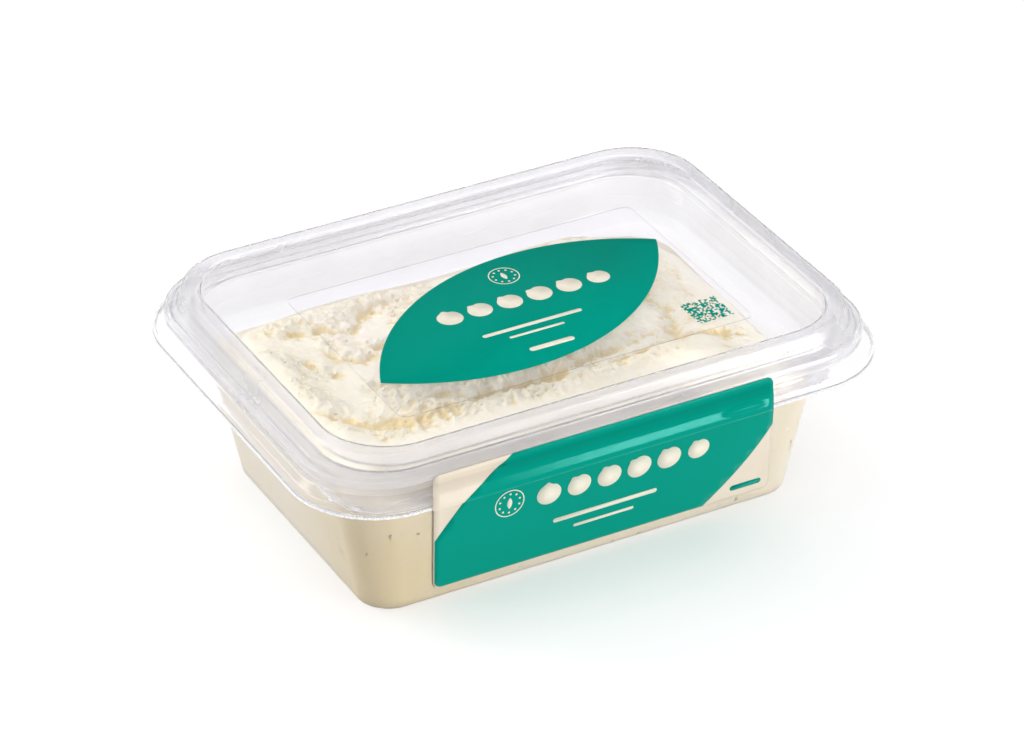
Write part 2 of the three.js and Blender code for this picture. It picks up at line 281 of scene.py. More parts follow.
@dataclass(frozen=True)
class ClearPlastic(Finish):
    """Thin clear thermoformed plastic: glossy, with the faint waviness of a drawn sheet.

    The sheet is hazier where "drawn" is 1, and it lets the lamps through to what it holds.
    """

    tint: Tone = colour(0.965, 0.96, 0.975)
    drawn_tint: Tone = colour(0.915, 0.91, 0.93)
    passing: Tone = colour(0.985, 0.985, 0.99)
    clarity: float = 0.95
    refraction: float = 1.37
    smoothness: float = 0.006
    haze: float = 0.02
    drawn_haze: float = 0.27
    least_drawn: float = 0.7
    patch_mm: float = 26
    wave_mm: float = 18
    ripple_mm: float = 5
    ripple_share: float = 0.06
    waviness_mm: float = 0.05
    waviness_strength: float = 0.35

    def surface(self, shader: Shader) -> Socket:
        """Builds the clear sheet."""
        waves = shader.noise(self.wave_mm, detail=1.5) * (1 - self.ripple_share)
        waves = waves + shader.noise(self.ripple_mm, detail=1) * self.ripple_share
        patches = shader.noise(self.patch_mm, detail=4).ramp(0.35, 0.75)
        drawn = shader.attribute("drawn") * (self.least_drawn + patches * (1 - self.least_drawn))
        sheet = shader.principled({
            "Base Color": shader.blend(drawn, self.tint, self.drawn_tint),
            "Roughness": patches * self.haze + drawn * self.drawn_haze + self.smoothness,
            "IOR": self.refraction,
            "Transmission Weight": self.clarity,
            "Normal": shader.bump(waves, self.waviness_mm, self.waviness_strength),
        })
        return shader.open_to_lamps(sheet, self.passing)


@dataclass(frozen=True)
class CutEdge(Finish):
    """A curled or die-cut edge of clear plastic: whitened, with a fine sawn grain. Its tone stands partly for
    light: white on the lid's lip as a painted highlight along that edge, dark grey on the film as a painted
    shade line.
    """

    tone: Tone = colour(0.96, 0.955, 0.97)
    clarity: float = 0.35
    roughness: float = 0.2
    grain_mm: float = 0.5
    grain_roughness: float = 0.15
    grain_depth_mm: float = 0.02
    grain_strength: float = 0.12

    def surface(self, shader: Shader) -> Socket:
        """Builds the milky edge."""
        grain = shader.noise(self.grain_mm, detail=3)
        return shader.principled({
            "Base Color": self.tone,
            "Roughness": grain * self.grain_roughness + self.roughness,
            "IOR": 1.46,
            "Transmission Weight": self.clarity,
            "Normal": shader.bump(grain, self.grain_depth_mm, self.grain_strength),
        })


@dataclass(frozen=True)
class HummusPaste(Finish):
    """Thick pale paste: moist and glossy on its crests, with air pits, and warm in its dips and creases, where
    the warm tone is painted shade as much as the paste's own yellower tone.

    It reads the numbers on the mesh's points: how much painted shade a crease takes, flank, crumb, moist, and
    how much of the grey-brown strip at the wall shows. That strip is partly paste wiped onto the wall and
    partly painted shade; the dark air pits and the dark front left corner are painted shade too, and the pale
    specks are painted glints.
    """

    crest: Tone = colour(0.95, 0.895, 0.755)
    body: Tone = colour(0.905, 0.825, 0.62)
    # Painted shade: the warm tone of creases and steep faces, partly the paste's own yellower tone.
    hollow_shade: Tone = colour(0.82, 0.63, 0.24)
    moist: Tone = colour(0.82, 0.775, 0.59)
    # Partly paste wiped onto the wall, partly painted shade where the paste meets it.
    smear_and_shade: Tone = colour(0.55, 0.47, 0.33)
    # Painted shade inside the air pits.
    pit_shade: Tone = colour(0.47, 0.38, 0.20)
    # Painted light: the pale glints on the wet bank and the specks where light gets behind the paste at the
    # wall.
    pale: Tone = colour(0.97, 0.94, 0.86)
    flank: Tone = colour(0.85, 0.765, 0.585)
    # Painted shade, partly oilier paste: the darker tone near the front left corner.
    corner: Tone = colour(0.77, 0.635, 0.37)
    cloud_mm: float = 9
    grain_mm: float = 0.9
    curd_mm: float = 1.7
    glint_speck_mm: float = 1.5
    lump_mm: float = 2.6
    wet_mm: float = 5.5
    small_pit_mm: float = 6.5
    large_pit_mm: float = 17
    relief_mm: float = 0.48
    shade_corner_place: Place = (-0.079, -0.052, 0.012)
    shade_corner_reach: Range = (0.008, 0.062)
    roughness: float = 0.6
    coat_roughness: float = 0.28
    subsurface: float = 0.2
    subsurface_radius: Place = (0.9, 0.6, 0.3)
    subsurface_mm: float = 1.3
    pit_bend: Place = (0.005, 0.005, 0.005)
    pit_bend_scale: float = 240.0

    def surface(self, shader: Shader) -> Socket:
        """Builds the paste."""
        side = shader.attribute("flank")
        crumbly = shader.attribute("crumb")
        wet_bank = shader.attribute("moist")
        pits = self._air_pits(shader) * side
        grains = shader.noise(self.grain_mm, detail=4, rough=0.65)
        relief = grains * (crumbly * 0.6 + wet_bank * 0.35 + 0.2) + shader.cells(self.curd_mm) * crumbly * 0.6
        relief = relief + shader.noise(self.lump_mm, detail=3) * 0.35
        relief = relief * (1 - side * 0.85) - pits * 0.9
        wet = shader.noise(self.wet_mm, detail=4).ramp(0.42, 0.68)
        tone = shader.blend(side, self._top_tone(shader, crumbly, wet_bank), self._flank_tone(shader))
        # Painted shade in the air pits.
        tone = shader.blend(pits * 0.8, tone, self.pit_shade)
        return shader.principled({
            # Painted light: pale specks on the paste at the wall.
            "Base Color": shader.blend(self._backlit_glint_specks(shader) * side * 0.7, tone, self.pale),
            "Roughness": self.roughness - wet * 0.24 - wet_bank * 0.3 - side * 0.1,
            "IOR": 1.42,
            "Subsurface Weight": self.subsurface,
            "Subsurface Radius": self.subsurface_radius,
            "Subsurface Scale": self.subsurface_mm * MM,
            "Coat Weight": wet_bank * 0.4 + 0.16,
            "Coat Roughness": self.coat_roughness,
            "Normal": shader.bump(relief, self.relief_mm),
        })

    def _top_tone(self, shader: Shader, crumbly: Value, wet_bank: Value) -> Socket:
        """Colours the surface under the lid.

        Args:
            shader: the material's tree.
            crumbly: where the paste is crumbly.
            wet_bank: where it is wet.

        Returns:
            Cream crests; creases and steep faces in a yellow painted shade, partly the paste's own yellower
            tone; pale painted glints on the wet bank; and a grey-brown strip at the wall, partly paste wiped
            onto it and partly painted shade.
        """
        clouds = shader.noise(self.cloud_mm, detail=5, rough=0.6).ramp(0.3, 0.72)
        tone = shader.blend(clouds * 0.55 + (1 - crumbly) * 0.45, self.body, self.crest)
        tone = shader.blend(wet_bank * 0.7, tone, self.moist)
        # Painted shade in creases and on steep faces, partly the paste's own yellower tone.
        tone = shader.blend(shader.attribute("hollow_shade").ramp(0.08, 0.95) * 0.92, tone, self.hollow_shade)
        # Painted glints: pale specks on the wet bank.
        glint_specks = (1 - shader.cells(self.glint_speck_mm).ramp(0.14, 0.24)) * wet_bank.ramp(0.3, 0.6)
        tone = shader.blend(glint_specks * 0.85, tone, self.pale)
        # Painted shade with paste wiped onto the wall: the grey-brown strip along the wall.
        return shader.blend(shader.attribute("smear_and_shade") * 0.8, tone, self.smear_and_shade)

    def _flank_tone(self, shader: Shader) -> Socket:
        """Colours the paste against the wall: darker near the front left corner, partly oilier paste and partly
        painted shade.
        """
        sockets = {0: shader.place(), 1: self.shade_corner_place}
        away = shader.node("ShaderNodeVectorMath", {"operation": "DISTANCE"}, sockets).outputs["Value"]
        distance = Value(shader, away) + (shader.noise(22, detail=2) - 0.5) * 0.03
        # Painted shade towards the front left corner, partly oilier paste.
        return shader.blend(1 - distance.ramp(*self.shade_corner_reach), self.flank, self.corner)

    def _air_pits(self, shader: Shader) -> Value:
        """Scattered pockets of air against the wall, bent by a fine noise: 1 in a pocket."""
        sockets = {"Vector": shader.place(), "Scale": self.pit_bend_scale, "Detail": 2.0}
        curl = shader.node("ShaderNodeTexNoise", None, sockets).outputs["Color"]
        sockets = {0: curl, 1: self.pit_bend, 2: shader.stretched((1.0, 1.0, 0.6))}
        bent = shader.node("ShaderNodeVectorMath", {"operation": "MULTIPLY_ADD"}, sockets).outputs[0]
        small = 1 - shader.cells(self.small_pit_mm, bent).ramp(0.05, 0.12)
        large = 1 - shader.cells(self.large_pit_mm, bent).ramp(0.045, 0.075)
        return (small * shader.noise(19, detail=1).ramp(0.42, 0.48)).most(large)

    def _backlit_glint_specks(self, shader: Shader) -> Value:
        """Small slanted specks of painted light where the paste stands a little off the wall and the light gets
        behind it.
        """
        specks = 1 - shader.cells(self.small_pit_mm, shader.stretched((1.0, 0.55, 0.8))).ramp(0.05, 0.1)
        return specks * shader.noise(15, detail=1).ramp(0.5, 0.56)


@dataclass(frozen=True)
class CoatedPaper(Finish):
    """Coated label paper or a printed field on it, with a faint fibre relief under the gloss.

    A thin print lets the lamps through.
    """

    ink: Tone
    shade: float = 0.93
    roughness: float = 0.34
    gloss: float = 0.3
    fibre_depth_mm: float = 0.02
    thin: bool = False
    sheen: Tone = colour(1.0, 1.0, 1.0)
    passing: Tone = colour(0.95, 0.95, 0.93)
    patch_mm: float = 14
    fibre_mm: float = 0.7
    gloss_patch_mm: float = 6
    gloss_change: float = 0.12

    def surface(self, shader: Shader) -> Socket:
        """Builds a printed surface whose tone and gloss vary slightly."""
        darker = tuple(channel * self.shade for channel in self.ink[:3]) + (1.0,)
        patches = shader.noise(self.patch_mm, detail=5, rough=0.6).ramp(0.3, 0.7)
        fibres = shader.noise(self.fibre_mm, detail=4, rough=0.7)
        gloss_patches = shader.noise(self.gloss_patch_mm, detail=3)
        print_surface = shader.principled({
            "Base Color": shader.blend(patches, self.ink, darker),
            "Roughness": gloss_patches * self.gloss_change + (self.roughness - self.gloss_change / 2),
            "IOR": 1.45,
            "Specular IOR Level": self.gloss,
            "Specular Tint": self.sheen,
            "Normal": shader.bump(fibres, self.fibre_depth_mm, 0.5),
        })
        return shader.open_to_lamps(print_surface, self.passing) if self.thin else print_surface


@dataclass(frozen=True)
class Backdrop(Finish):
    """The plain pale studio floor: matt, almost white and lit a little from below, as a light table is."""

    tone: Tone = colour(0.65, 0.65, 0.65)
    glow: float = 0.66

    def surface(self, shader: Shader) -> Socket:
        """Builds the floor."""
        return shader.principled({
            "Base Color": self.tone,
            "Roughness": 0.9,
            "Specular IOR Level": 0.0,
            "Emission Color": self.tone,
            "Emission Strength": self.glow,
        })


@dataclass(frozen=True)
class Outline:
    """A level rectangle with round corners: half length, half width, corner radius and height."""

    a: float
    b: float
    r: float
    z: float

    def points(self, corner: int, long: int = 1, short: int = 1) -> np.ndarray:
        """Points anticlockwise round the outline.

        Args:
            corner: steps in each corner.
            long: steps along each long side.
            short: steps along each short side.

        Returns:
            An array of points in millimetres.
        """
        signs = ((1, 1), (-1, 1), (-1, -1), (1, -1))

        def on_corner(quarter: int, angle: float) -> np.ndarray:
            """A point on one corner's arc."""
            sx, sy = signs[quarter % 4]
            cx, cy = sx * (self.a - self.r), sy * (self.b - self.r)
            return np.array((cx + self.r * math.cos(angle), cy + self.r * math.sin(angle)))

        rows: list[np.ndarray] = []
        for quarter in range(4):
            rows += [on_corner(quarter, (quarter + k / corner) * math.pi / 2) for k in range(corner + 1)]
            side = short if quarter % 2 else long
            start, end = rows[-1], on_corner(quarter + 1, (quarter + 1) * math.pi / 2)
            rows += [start + (end - start) * (k / side) for k in range(1, side)]
        flat = np.array(rows)
        return np.column_stack([flat, np.full(len(flat), self.z)])

    def inset(self, by: float, z: float | None = None) -> "Outline":
        """The outline moved inwards, at its own height or another."""
        return Outline(self.a - by, self.b - by, self.r - by, self.z if z is None else z)

    def towards(self, other: "Outline", share: float) -> "Outline":
        """The outline part of the way to another."""
        return Outline(*[p + (q - p) * share for p, q in zip(self.row(), other.row())])

    def row(self) -> tuple[float, float, float, float]:
        """Its four sizes."""
        return (self.a, self.b, self.r, self.z)

    def at(self, other: "Outline", z: float) -> "Outline":
        """The outline at height z on the straight wall from here to another."""
        return self.towards(other, (z - self.z) / (other.z - self.z))


def round_bend(start: np.ndarray, corner: np.ndarray, end: np.ndarray, steps: int) -> list[np.ndarray]:
    """Points of the curve that rounds a corner.

    Args:
        start: where the curve starts.
        corner: the corner that it cuts.
        end: where it ends.
        steps: its steps.

    Returns:
        The points, with both ends.
    """
    shares = [step / steps for step in range(steps + 1)]
    return [(1 - t) ** 2 * start + 2 * t * (1 - t) * corner + t * t * end for t in shares]


def rounded(stations: Sequence[Outline], reach: float) -> list[Outline]:
    """Rounds the bends of a profile and keeps the stretches between them straight.

    A short straight follows each round, so that the flats shade flat.

    Args:
        stations: the profile's corners in order.
        reach: how far from a corner its round starts.

    Returns:
        The finer profile.
    """
    steps, straight, most = 4, 0.3, 0.42
    rows = [np.array(s.row()) for s in stations]
    lengths = [max(1e-6, math.dist(p[[0, 3]], q[[0, 3]])) for p, q in zip(rows, rows[1:])]
    fine = [rows[0]]
    for k in range(1, len(rows) - 1):
        before, here, after = rows[k - 1], rows[k], rows[k + 1]
        cut_in = min(reach, most * lengths[k - 1]) / lengths[k - 1]
        cut_out = min(reach, most * lengths[k]) / lengths[k]
        start = here + (before - here) * cut_in
        end = here + (after - here) * cut_out
        if lengths[k - 1] * (1 - cut_in) > 4 * straight:
            fine.append(start + (before - start) * straight / (lengths[k - 1] * (1 - cut_in)))
        fine += round_bend(start, here, end, steps)
        if lengths[k] * (1 - cut_out) > 4 * straight:
            fine.append(end + (after - end) * straight / (lengths[k] * (1 - cut_out)))
    fine.append(rows[-1])
    return [Outline(*row) for row in fine]


def mesh_object(name: str, points: np.ndarray, faces: Sequence[Sequence[int]], sharp_deg: float = 35) -> Any:
    """Makes a mesh object from points in millimetres.

    Args:
        name: the object's name.
        points: its points.
        faces: its faces, anticlockwise from outside.
        sharp_deg: edges that bend more than this stay crisp.

    Returns:
        The linked object.
    """
    mesh = bpy.data.meshes.new(name)
    mesh.from_pydata((np.asarray(points) * MM).tolist(), [], [list(f) for f in faces])
    mesh.validate()
    mesh.polygons.foreach_set("use_smooth", [True] * len(mesh.polygons))
    mesh.set_sharp_from_angle(angle=math.radians(sharp_deg))
    thing = bpy.data.objects.new(name, mesh)
    bpy.context.scene.collection.objects.link(thing)
    return thing


def skin_faces(rings: int, count: int) -> list[list[int]]:
    """Faces of a closed surface over rings, with a lower cap first and an upper cap last.

    Args:
        rings: number of rings.
        count: points in each ring.

    Returns:
        The faces, pointing out.
    """
    around = np.arange(count)
    beside = (around + 1) % count
    faces: list[list[int]] = [around[::-1].tolist()]
    for j in range(rings - 1):
        low, high = j * count, (j + 1) * count
        faces += np.column_stack([low + around, low + beside, high + beside, high + around]).tolist()
    faces.append((around + (rings - 1) * count).tolist())
    return faces


def number_points(thing: Any, name: str, values: np.ndarray) -> None:
    """Stores a number on each point of a mesh for its material to read."""
    attribute = thing.data.attributes.new(name, "FLOAT", "POINT")
    attribute.data.foreach_set("value", values.astype(np.float32))


def shell(name: str, profile: Sequence[Outline], corner: int, drawn: Callable[[Outline], float]) -> Any:
    """A closed surface over a profile of outlines, from its lower cap to its upper one.

    Args:
        name: the object's name.
        profile: outlines in order.
        corner: steps in each corner.
        drawn: how hazy an outline's stretch of the sheet is, from 0 to 1.

    Returns:
        The object.
    """
    rings = [outline.points(corner) for outline in profile]
    thing = mesh_object(name, np.vstack(rings), skin_faces(len(rings), len(rings[0])))
    number_points(thing, "drawn", np.repeat([float(drawn(outline)) for outline in profile], len(rings[0])))
    return thing


class NodeTree(NodeMaker):
    """A Geometry Nodes tree with named inputs, which is built once and turned into plain meshes."""

    def __init__(self, name: str, inputs: dict[str, tuple[str, Any]]) -> None:
        """Starts a tree.

        Args:
            name: the tree's name.
            inputs: input name to its socket type and value.
        """
        self.tree = bpy.data.node_groups.new(name, "GeometryNodeTree")
        self.values = {key: value for key, (_, value) in inputs.items()}
        self.tree.interface.new_socket("Geometry", in_out="INPUT", socket_type="NodeSocketGeometry")
        self.tree.interface.new_socket("Geometry", in_out="OUTPUT", socket_type="NodeSocketGeometry")
        self.keys = {}
        for key, (kind, _) in inputs.items():
            socket = self.tree.interface.new_socket(key, in_out="INPUT", socket_type=kind)
            self.keys[key] = socket.identifier
        self.start = self.tree.nodes.new("NodeGroupInput")
        self.end = self.tree.nodes.new("NodeGroupOutput")

    def source(self, value: Any) -> Any:
        """The socket of the input that a text names, or the value itself."""
        named = isinstance(value, str) and value in self.start.outputs
        return self.start.outputs[value] if named else value

    def scatter(self, points: Socket, instance: Any, sockets: dict[str, Any]) -> None:
        """Puts an instance on each point, realizes them and gives them the Material input.

        Args:
            points: the points.
            instance: the geometry to place, or an input's name.
            sockets: further sockets of the node that places it, such as Scale.
        """
        given = {"Points": points, "Instance": instance, **sockets}
        placed = self.node("GeometryNodeInstanceOnPoints", None, given)
        real = self.node("GeometryNodeRealizeInstances", None, {0: placed.outputs[0]})
        given = {"Geometry": real.outputs[0], "Material": "Material"}
        dressed = self.node("GeometryNodeSetMaterial", None, given)
        self.tree.links.new(dressed.outputs[0], self.end.inputs[0])

    def grow(self, carrier: Any, name: str) -> Any:
        """Runs the tree on an object and keeps the result as a plain mesh.

        Args:
            carrier: the object whose geometry goes in.
            name: the new object's name.

        Returns:
            The new object.
        """
        modifier = carrier.modifiers.new(name, "NODES")
        modifier.node_group = self.tree
        for key, value in self.values.items():
            modifier[self.keys[key]] = value
        graph = bpy.context.evaluated_depsgraph_get()
        mesh = bpy.data.meshes.new_from_object(carrier.evaluated_get(graph), depsgraph=graph)
        carrier.modifiers.remove(modifier)
        mesh.name = name
        grown = bpy.data.objects.new(name, mesh)
        bpy.context.scene.collection.objects.link(grown)
        return grown


def dress(thing: Any, material: Material, slot: Slot, *replaced: str) -> Any:
    """Gives a piece its material and body, and hides the CAD nodes it stands for.

    Args:
        thing: the piece.
        material: its material.
        slot: the record's slot; not used.
        replaced: CAD nodes that it replaces.

    Returns:
        The piece.
    """
    thing.data.materials.clear()
    thing.data.materials.append(material)
    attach(thing, BODY)
    if replaced:
        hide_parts(*replaced)
    log.info("%s: %d faces", thing.name, len(thing.data.polygons))
    return thing


def second_finish(thing: Any, material: Material, chosen: Callable[[bpy.types.MeshPolygon], bool]) -> None:
    """Gives some of a piece's faces a second material.

    Args:
        thing: the piece.
        material: the second material.
        chosen: says whether a face gets it.
    """
    thing.data.materials.append(material)
    for face in thing.data.polygons:
        face.material_index = int(chosen(face))


@dataclass
class Tub:
    """The clear tub: tapered walls, a shoulder, an upright collar and a flange."""

    base: Outline = Outline(72.5, 47.9, 9.4, 0)
    fillet: Outline = Outline(73.75, 49.15, 10.6, 0.4)
    wall_foot: Outline = Outline(74.1, 49.5, 10.9, 1.6)
    wall_top: Outline = Outline(82.35, 54.65, 14.4, 42.2)
    shoulder: Outline = Outline(86.0, 61.7, 20.6, 43.4)
    collar_foot: Outline = Outline(86.5, 62.2, 21.0, 44.4)
    collar_top: Outline = Outline(86.8, 62.5, 21.2, 58.3)
    flange_out: float = 5.6
    flange_side: float = 5.2
    flange_round: float = 3.6
    rim_wall: float = 0.7
    rim_drop: float = 1.5
    flange_top: float = 58.9
    wall: float = 0.6
    floor: float = 0.7
    corner_steps: int = 22

    def profile(self) -> list[Outline]:
        """The surface from under the base, over the flange and down to the inner floor.

        Returns:
            The profile's outlines.
        """
        top = self.collar_top
        flange = Outline(top.a + self.flange_out, top.b + self.flange_side, top.r + self.flange_round, top.z)
        outer = [
            self.base, self.fillet, self.wall_foot, self.wall_top, self.shoulder, self.collar_foot, top, flange,
            flange.inset(0, top.z - self.rim_drop),
            flange.inset(-self.rim_wall, top.z - self.rim_drop),
            flange.inset(-self.rim_wall, self.flange_top),
        ]
        inner = [
            top.inset(self.wall, self.flange_top),
            self.collar_foot.inset(self.wall, self.collar_foot.z + 0.3),
            self.shoulder.inset(self.wall, self.shoulder.z + 0.5),
            self.wall_top.inset(self.wall, self.wall_top.z + 0.5),
            self.wall_foot.inset(self.wall, self.wall_foot.z + 0.2),
            self.base.inset(self.wall - 0.4, self.floor),
        ]
        under = self.base.inset(1.0)
        inside = inner[-1].inset(1.0)
        return rounded([under, *outer, *inner, inside], 0.55)

    def drawn(self, outline: Outline) -> float:
        """Haze of the sheet: clear walls, hazier from the shoulder up."""
        return float(smooth_step(self.wall_top.z - 2, self.collar_foot.z + 1, outline.z))

    def build(self, material: Material) -> None:
        """Makes and dresses the tub."""
        dress(shell("tub_shell", self.profile(), self.corner_steps, self.drawn), material, Slot.TUB, "tub")


class Bend(IntEnum):
    """The bends of the lid's upper profile that other sizes refer to."""

    PANEL = 0
    RIDGE_TOP = 3
    BEAD_TOP = 9
    BEAD = 10
    BEAD_FOOT = 11
    SKIRT_TOP = 12
    SKIRT_FOOT = 13
    LIP_TOP = 14
    LIP_EDGE = 15


@dataclass
class Lid:
    """The clear lid: a recessed panel, a ridge that is open underneath, a bead, a skirt and a turned-down lip.
    """

    upper: tuple[Outline, ...] = (
        Outline(83.3, 59.4, 20.6, 58.6), Outline(83.9, 60.0, 21.0, 59.1), Outline(84.3, 60.3, 21.2, 65.4),
        Outline(84.9, 60.8, 21.5, 66.1), Outline(88.9, 64.3, 22.6, 66.2), Outline(89.5, 64.9, 23.0, 65.6),
        Outline(91.2, 66.1, 24.0, 60.3), Outline(91.8, 66.7, 24.3, 59.8), Outline(93.8, 68.6, 25.3, 59.7),
        Outline(94.3, 69.1, 25.5, 59.2), Outline(94.6, 69.4, 25.7, 57.4), Outline(94.2, 69.0, 25.6, 55.5),
        Outline(94.7, 69.5, 26.0, 55.0), Outline(96.8, 71.7, 27.2, 53.9), Outline(97.4, 72.3, 27.5, 53.2),
        Outline(98.0, 73.0, 28.0, 49.8),
    )
    under: tuple[Outline, ...] = (
        Outline(83.7, 59.8, 20.9, 58.1), Outline(84.4, 60.5, 21.4, 58.8), Outline(84.8, 60.8, 21.6, 65.2),
        Outline(85.2, 61.1, 21.8, 65.6), Outline(88.6, 64.0, 22.4, 65.7), Outline(89.0, 64.4, 22.6, 65.3),
        Outline(90.7, 65.6, 23.6, 60.0), Outline(91.5, 66.4, 24.1, 59.3), Outline(93.5, 68.3, 25.1, 59.2),
        Outline(93.8, 68.6, 25.2, 58.9), Outline(94.1, 68.9, 25.3, 57.4), Outline(93.7, 68.5, 25.2, 55.4),
        Outline(94.2, 69.0, 25.6, 54.6), Outline(96.5, 71.4, 27.0, 53.4), Outline(96.9, 71.8, 27.1, 52.9),
        Outline(97.3, 72.3, 27.4, 51.1), Outline(96.9, 71.9, 27.1, 50.8), Outline(96.9, 71.9, 27.1, 50.1),
        Outline(97.2, 72.2, 27.3, 49.8),
    )
    corner_steps: int = 24
    hem_share: float = 0.74
    skirt_clearness: float = 0.65

    @property
    def panel_level(self) -> float:
        """Height of the recessed panel's upper side."""
        return self.upper[Bend.PANEL].z

    def drawn(self, outline: Outline) -> float:
        """Haze of the sheet: a clear panel, a hazy ridge and bead, and a clearer skirt."""
        edge = self.upper[Bend.RIDGE_TOP].a
        skirt = smooth_step(-self.upper[Bend.BEAD_FOOT].z, -self.upper[Bend.SKIRT_TOP].z, -outline.z)
        return float(smooth_step(edge - 0.5, edge + 1.5, outline.a) * (1 - self.skirt_clearness * skirt))

    def build(self, material: Material, hem: Material) -> None:
        """Makes and dresses the lid.

        Args:
            material: the clear sheet.
            hem: the whitened edge of the lip, its white partly a painted highlight.
        """
        low, high = self.under[0], self.upper[0]
        hem_top = self.upper[-2].towards(self.upper[-1], self.hem_share)
        down, up = [*self.under, self.upper[-1], hem_top], reversed(self.upper[:-1])
        profile = rounded([low.inset(1.5), *down, *up, high.inset(1.5)], 0.35)
        thing = dress(shell("lid_shell", profile, self.corner_steps, self.drawn), material, Slot.LID, "lid")
        second_finish(thing, hem, lambda face: face.center.z < hem_top.z * MM)


class Pattern(IntEnum):
    """Seeds of the random patterns in the paste."""

    WOBBLE_X = 3
    WOBBLE_Y = 4
    BROAD = 11
    FINE = 18
    RAGGED_RIM = 21
    RAGGED_RIM_FINE = 22
    CRUMBLY = 31
    CRUMBLY_FINE = 32
    STREAKS = 41
    SMEAR_AND_SHADE = 43
    SMEAR_AND_SHADE_FINE = 44
    WET = 51


@dataclass(frozen=True)
class Stroke:
    """A furrow or ridge left by the spoon: waypoints, half width, and height, below 0 for a furrow."""

    path: Way
    width: float
    height: float


@dataclass(frozen=True)
class Lump:
    """A round lump, or a dip where its height is below 0."""

    x: float
    y: float
    radius: float
    height: float


def lattice(i: np.ndarray, j: np.ndarray, seed: float) -> np.ndarray:
    """Random heights from -1 to 1 on a square lattice, the same on every run."""
    wave = np.sin(i * 127.1 + j * 311.7 + seed * 74.7) * 43758.5453
    return 2 * (wave - np.floor(wave)) - 1


def soft_noise(x: np.ndarray, y: np.ndarray, size: float, seed: float) -> np.ndarray:
    """Smooth random heights from -1 to 1.

    Args:
        x: places along the pack.
        y: places across it.
        size: width of the bumps.
        seed: picks the pattern.

    Returns:
        The heights.
    """
    u, v = x / size, y / size
    i, j = np.floor(u), np.floor(v)
    p, q = u - i, v - j
    p, q = p * p * (3 - 2 * p), q * q * (3 - 2 * q)
    near = lattice(i, j, seed) * (1 - p) + lattice(i + 1, j, seed) * p
    far = lattice(i, j + 1, seed) * (1 - p) + lattice(i + 1, j + 1, seed) * p
    return near * (1 - q) + far * q


def smooth_step(low: float, high: float, value: np.ndarray) -> np.ndarray:
    """Rises smoothly from 0 at low to 1 at high."""
    share = np.clip((value - low) / (high - low), 0, 1)
    return share * share * (3 - 2 * share)


def path_distance(x: np.ndarray, y: np.ndarray, path: Sequence[Spot]) -> np.ndarray:
    """Distance from each place to a path of straight stretches.

    Args:
        x: places along the pack.
        y: places across it.
        path: the path's corners.

    Returns:
        The distances, below 0 on the path's right side.
    """
    nearest, side = np.full_like(x, 1e9), np.ones_like(x)
    for (x0, y0), (x1, y1) in zip(path, path[1:]):
        dx, dy = x1 - x0, y1 - y0
        share = np.clip(((x - x0) * dx + (y - y0) * dy) / (dx * dx + dy * dy), 0, 1)
        away = np.hypot(x - x0 - share * dx, y - y0 - share * dy)
        side = np.where(away < nearest, np.sign((y - y0) * dx - (x - x0) * dy), side)
        nearest = np.minimum(nearest, away)
    return nearest * side


def bell(distance: np.ndarray, width: float, power: float = 2.0) -> np.ndarray:
    """1 at no distance, falling softly to nothing past the width."""
    return np.exp(-(np.abs(distance / width) ** power))


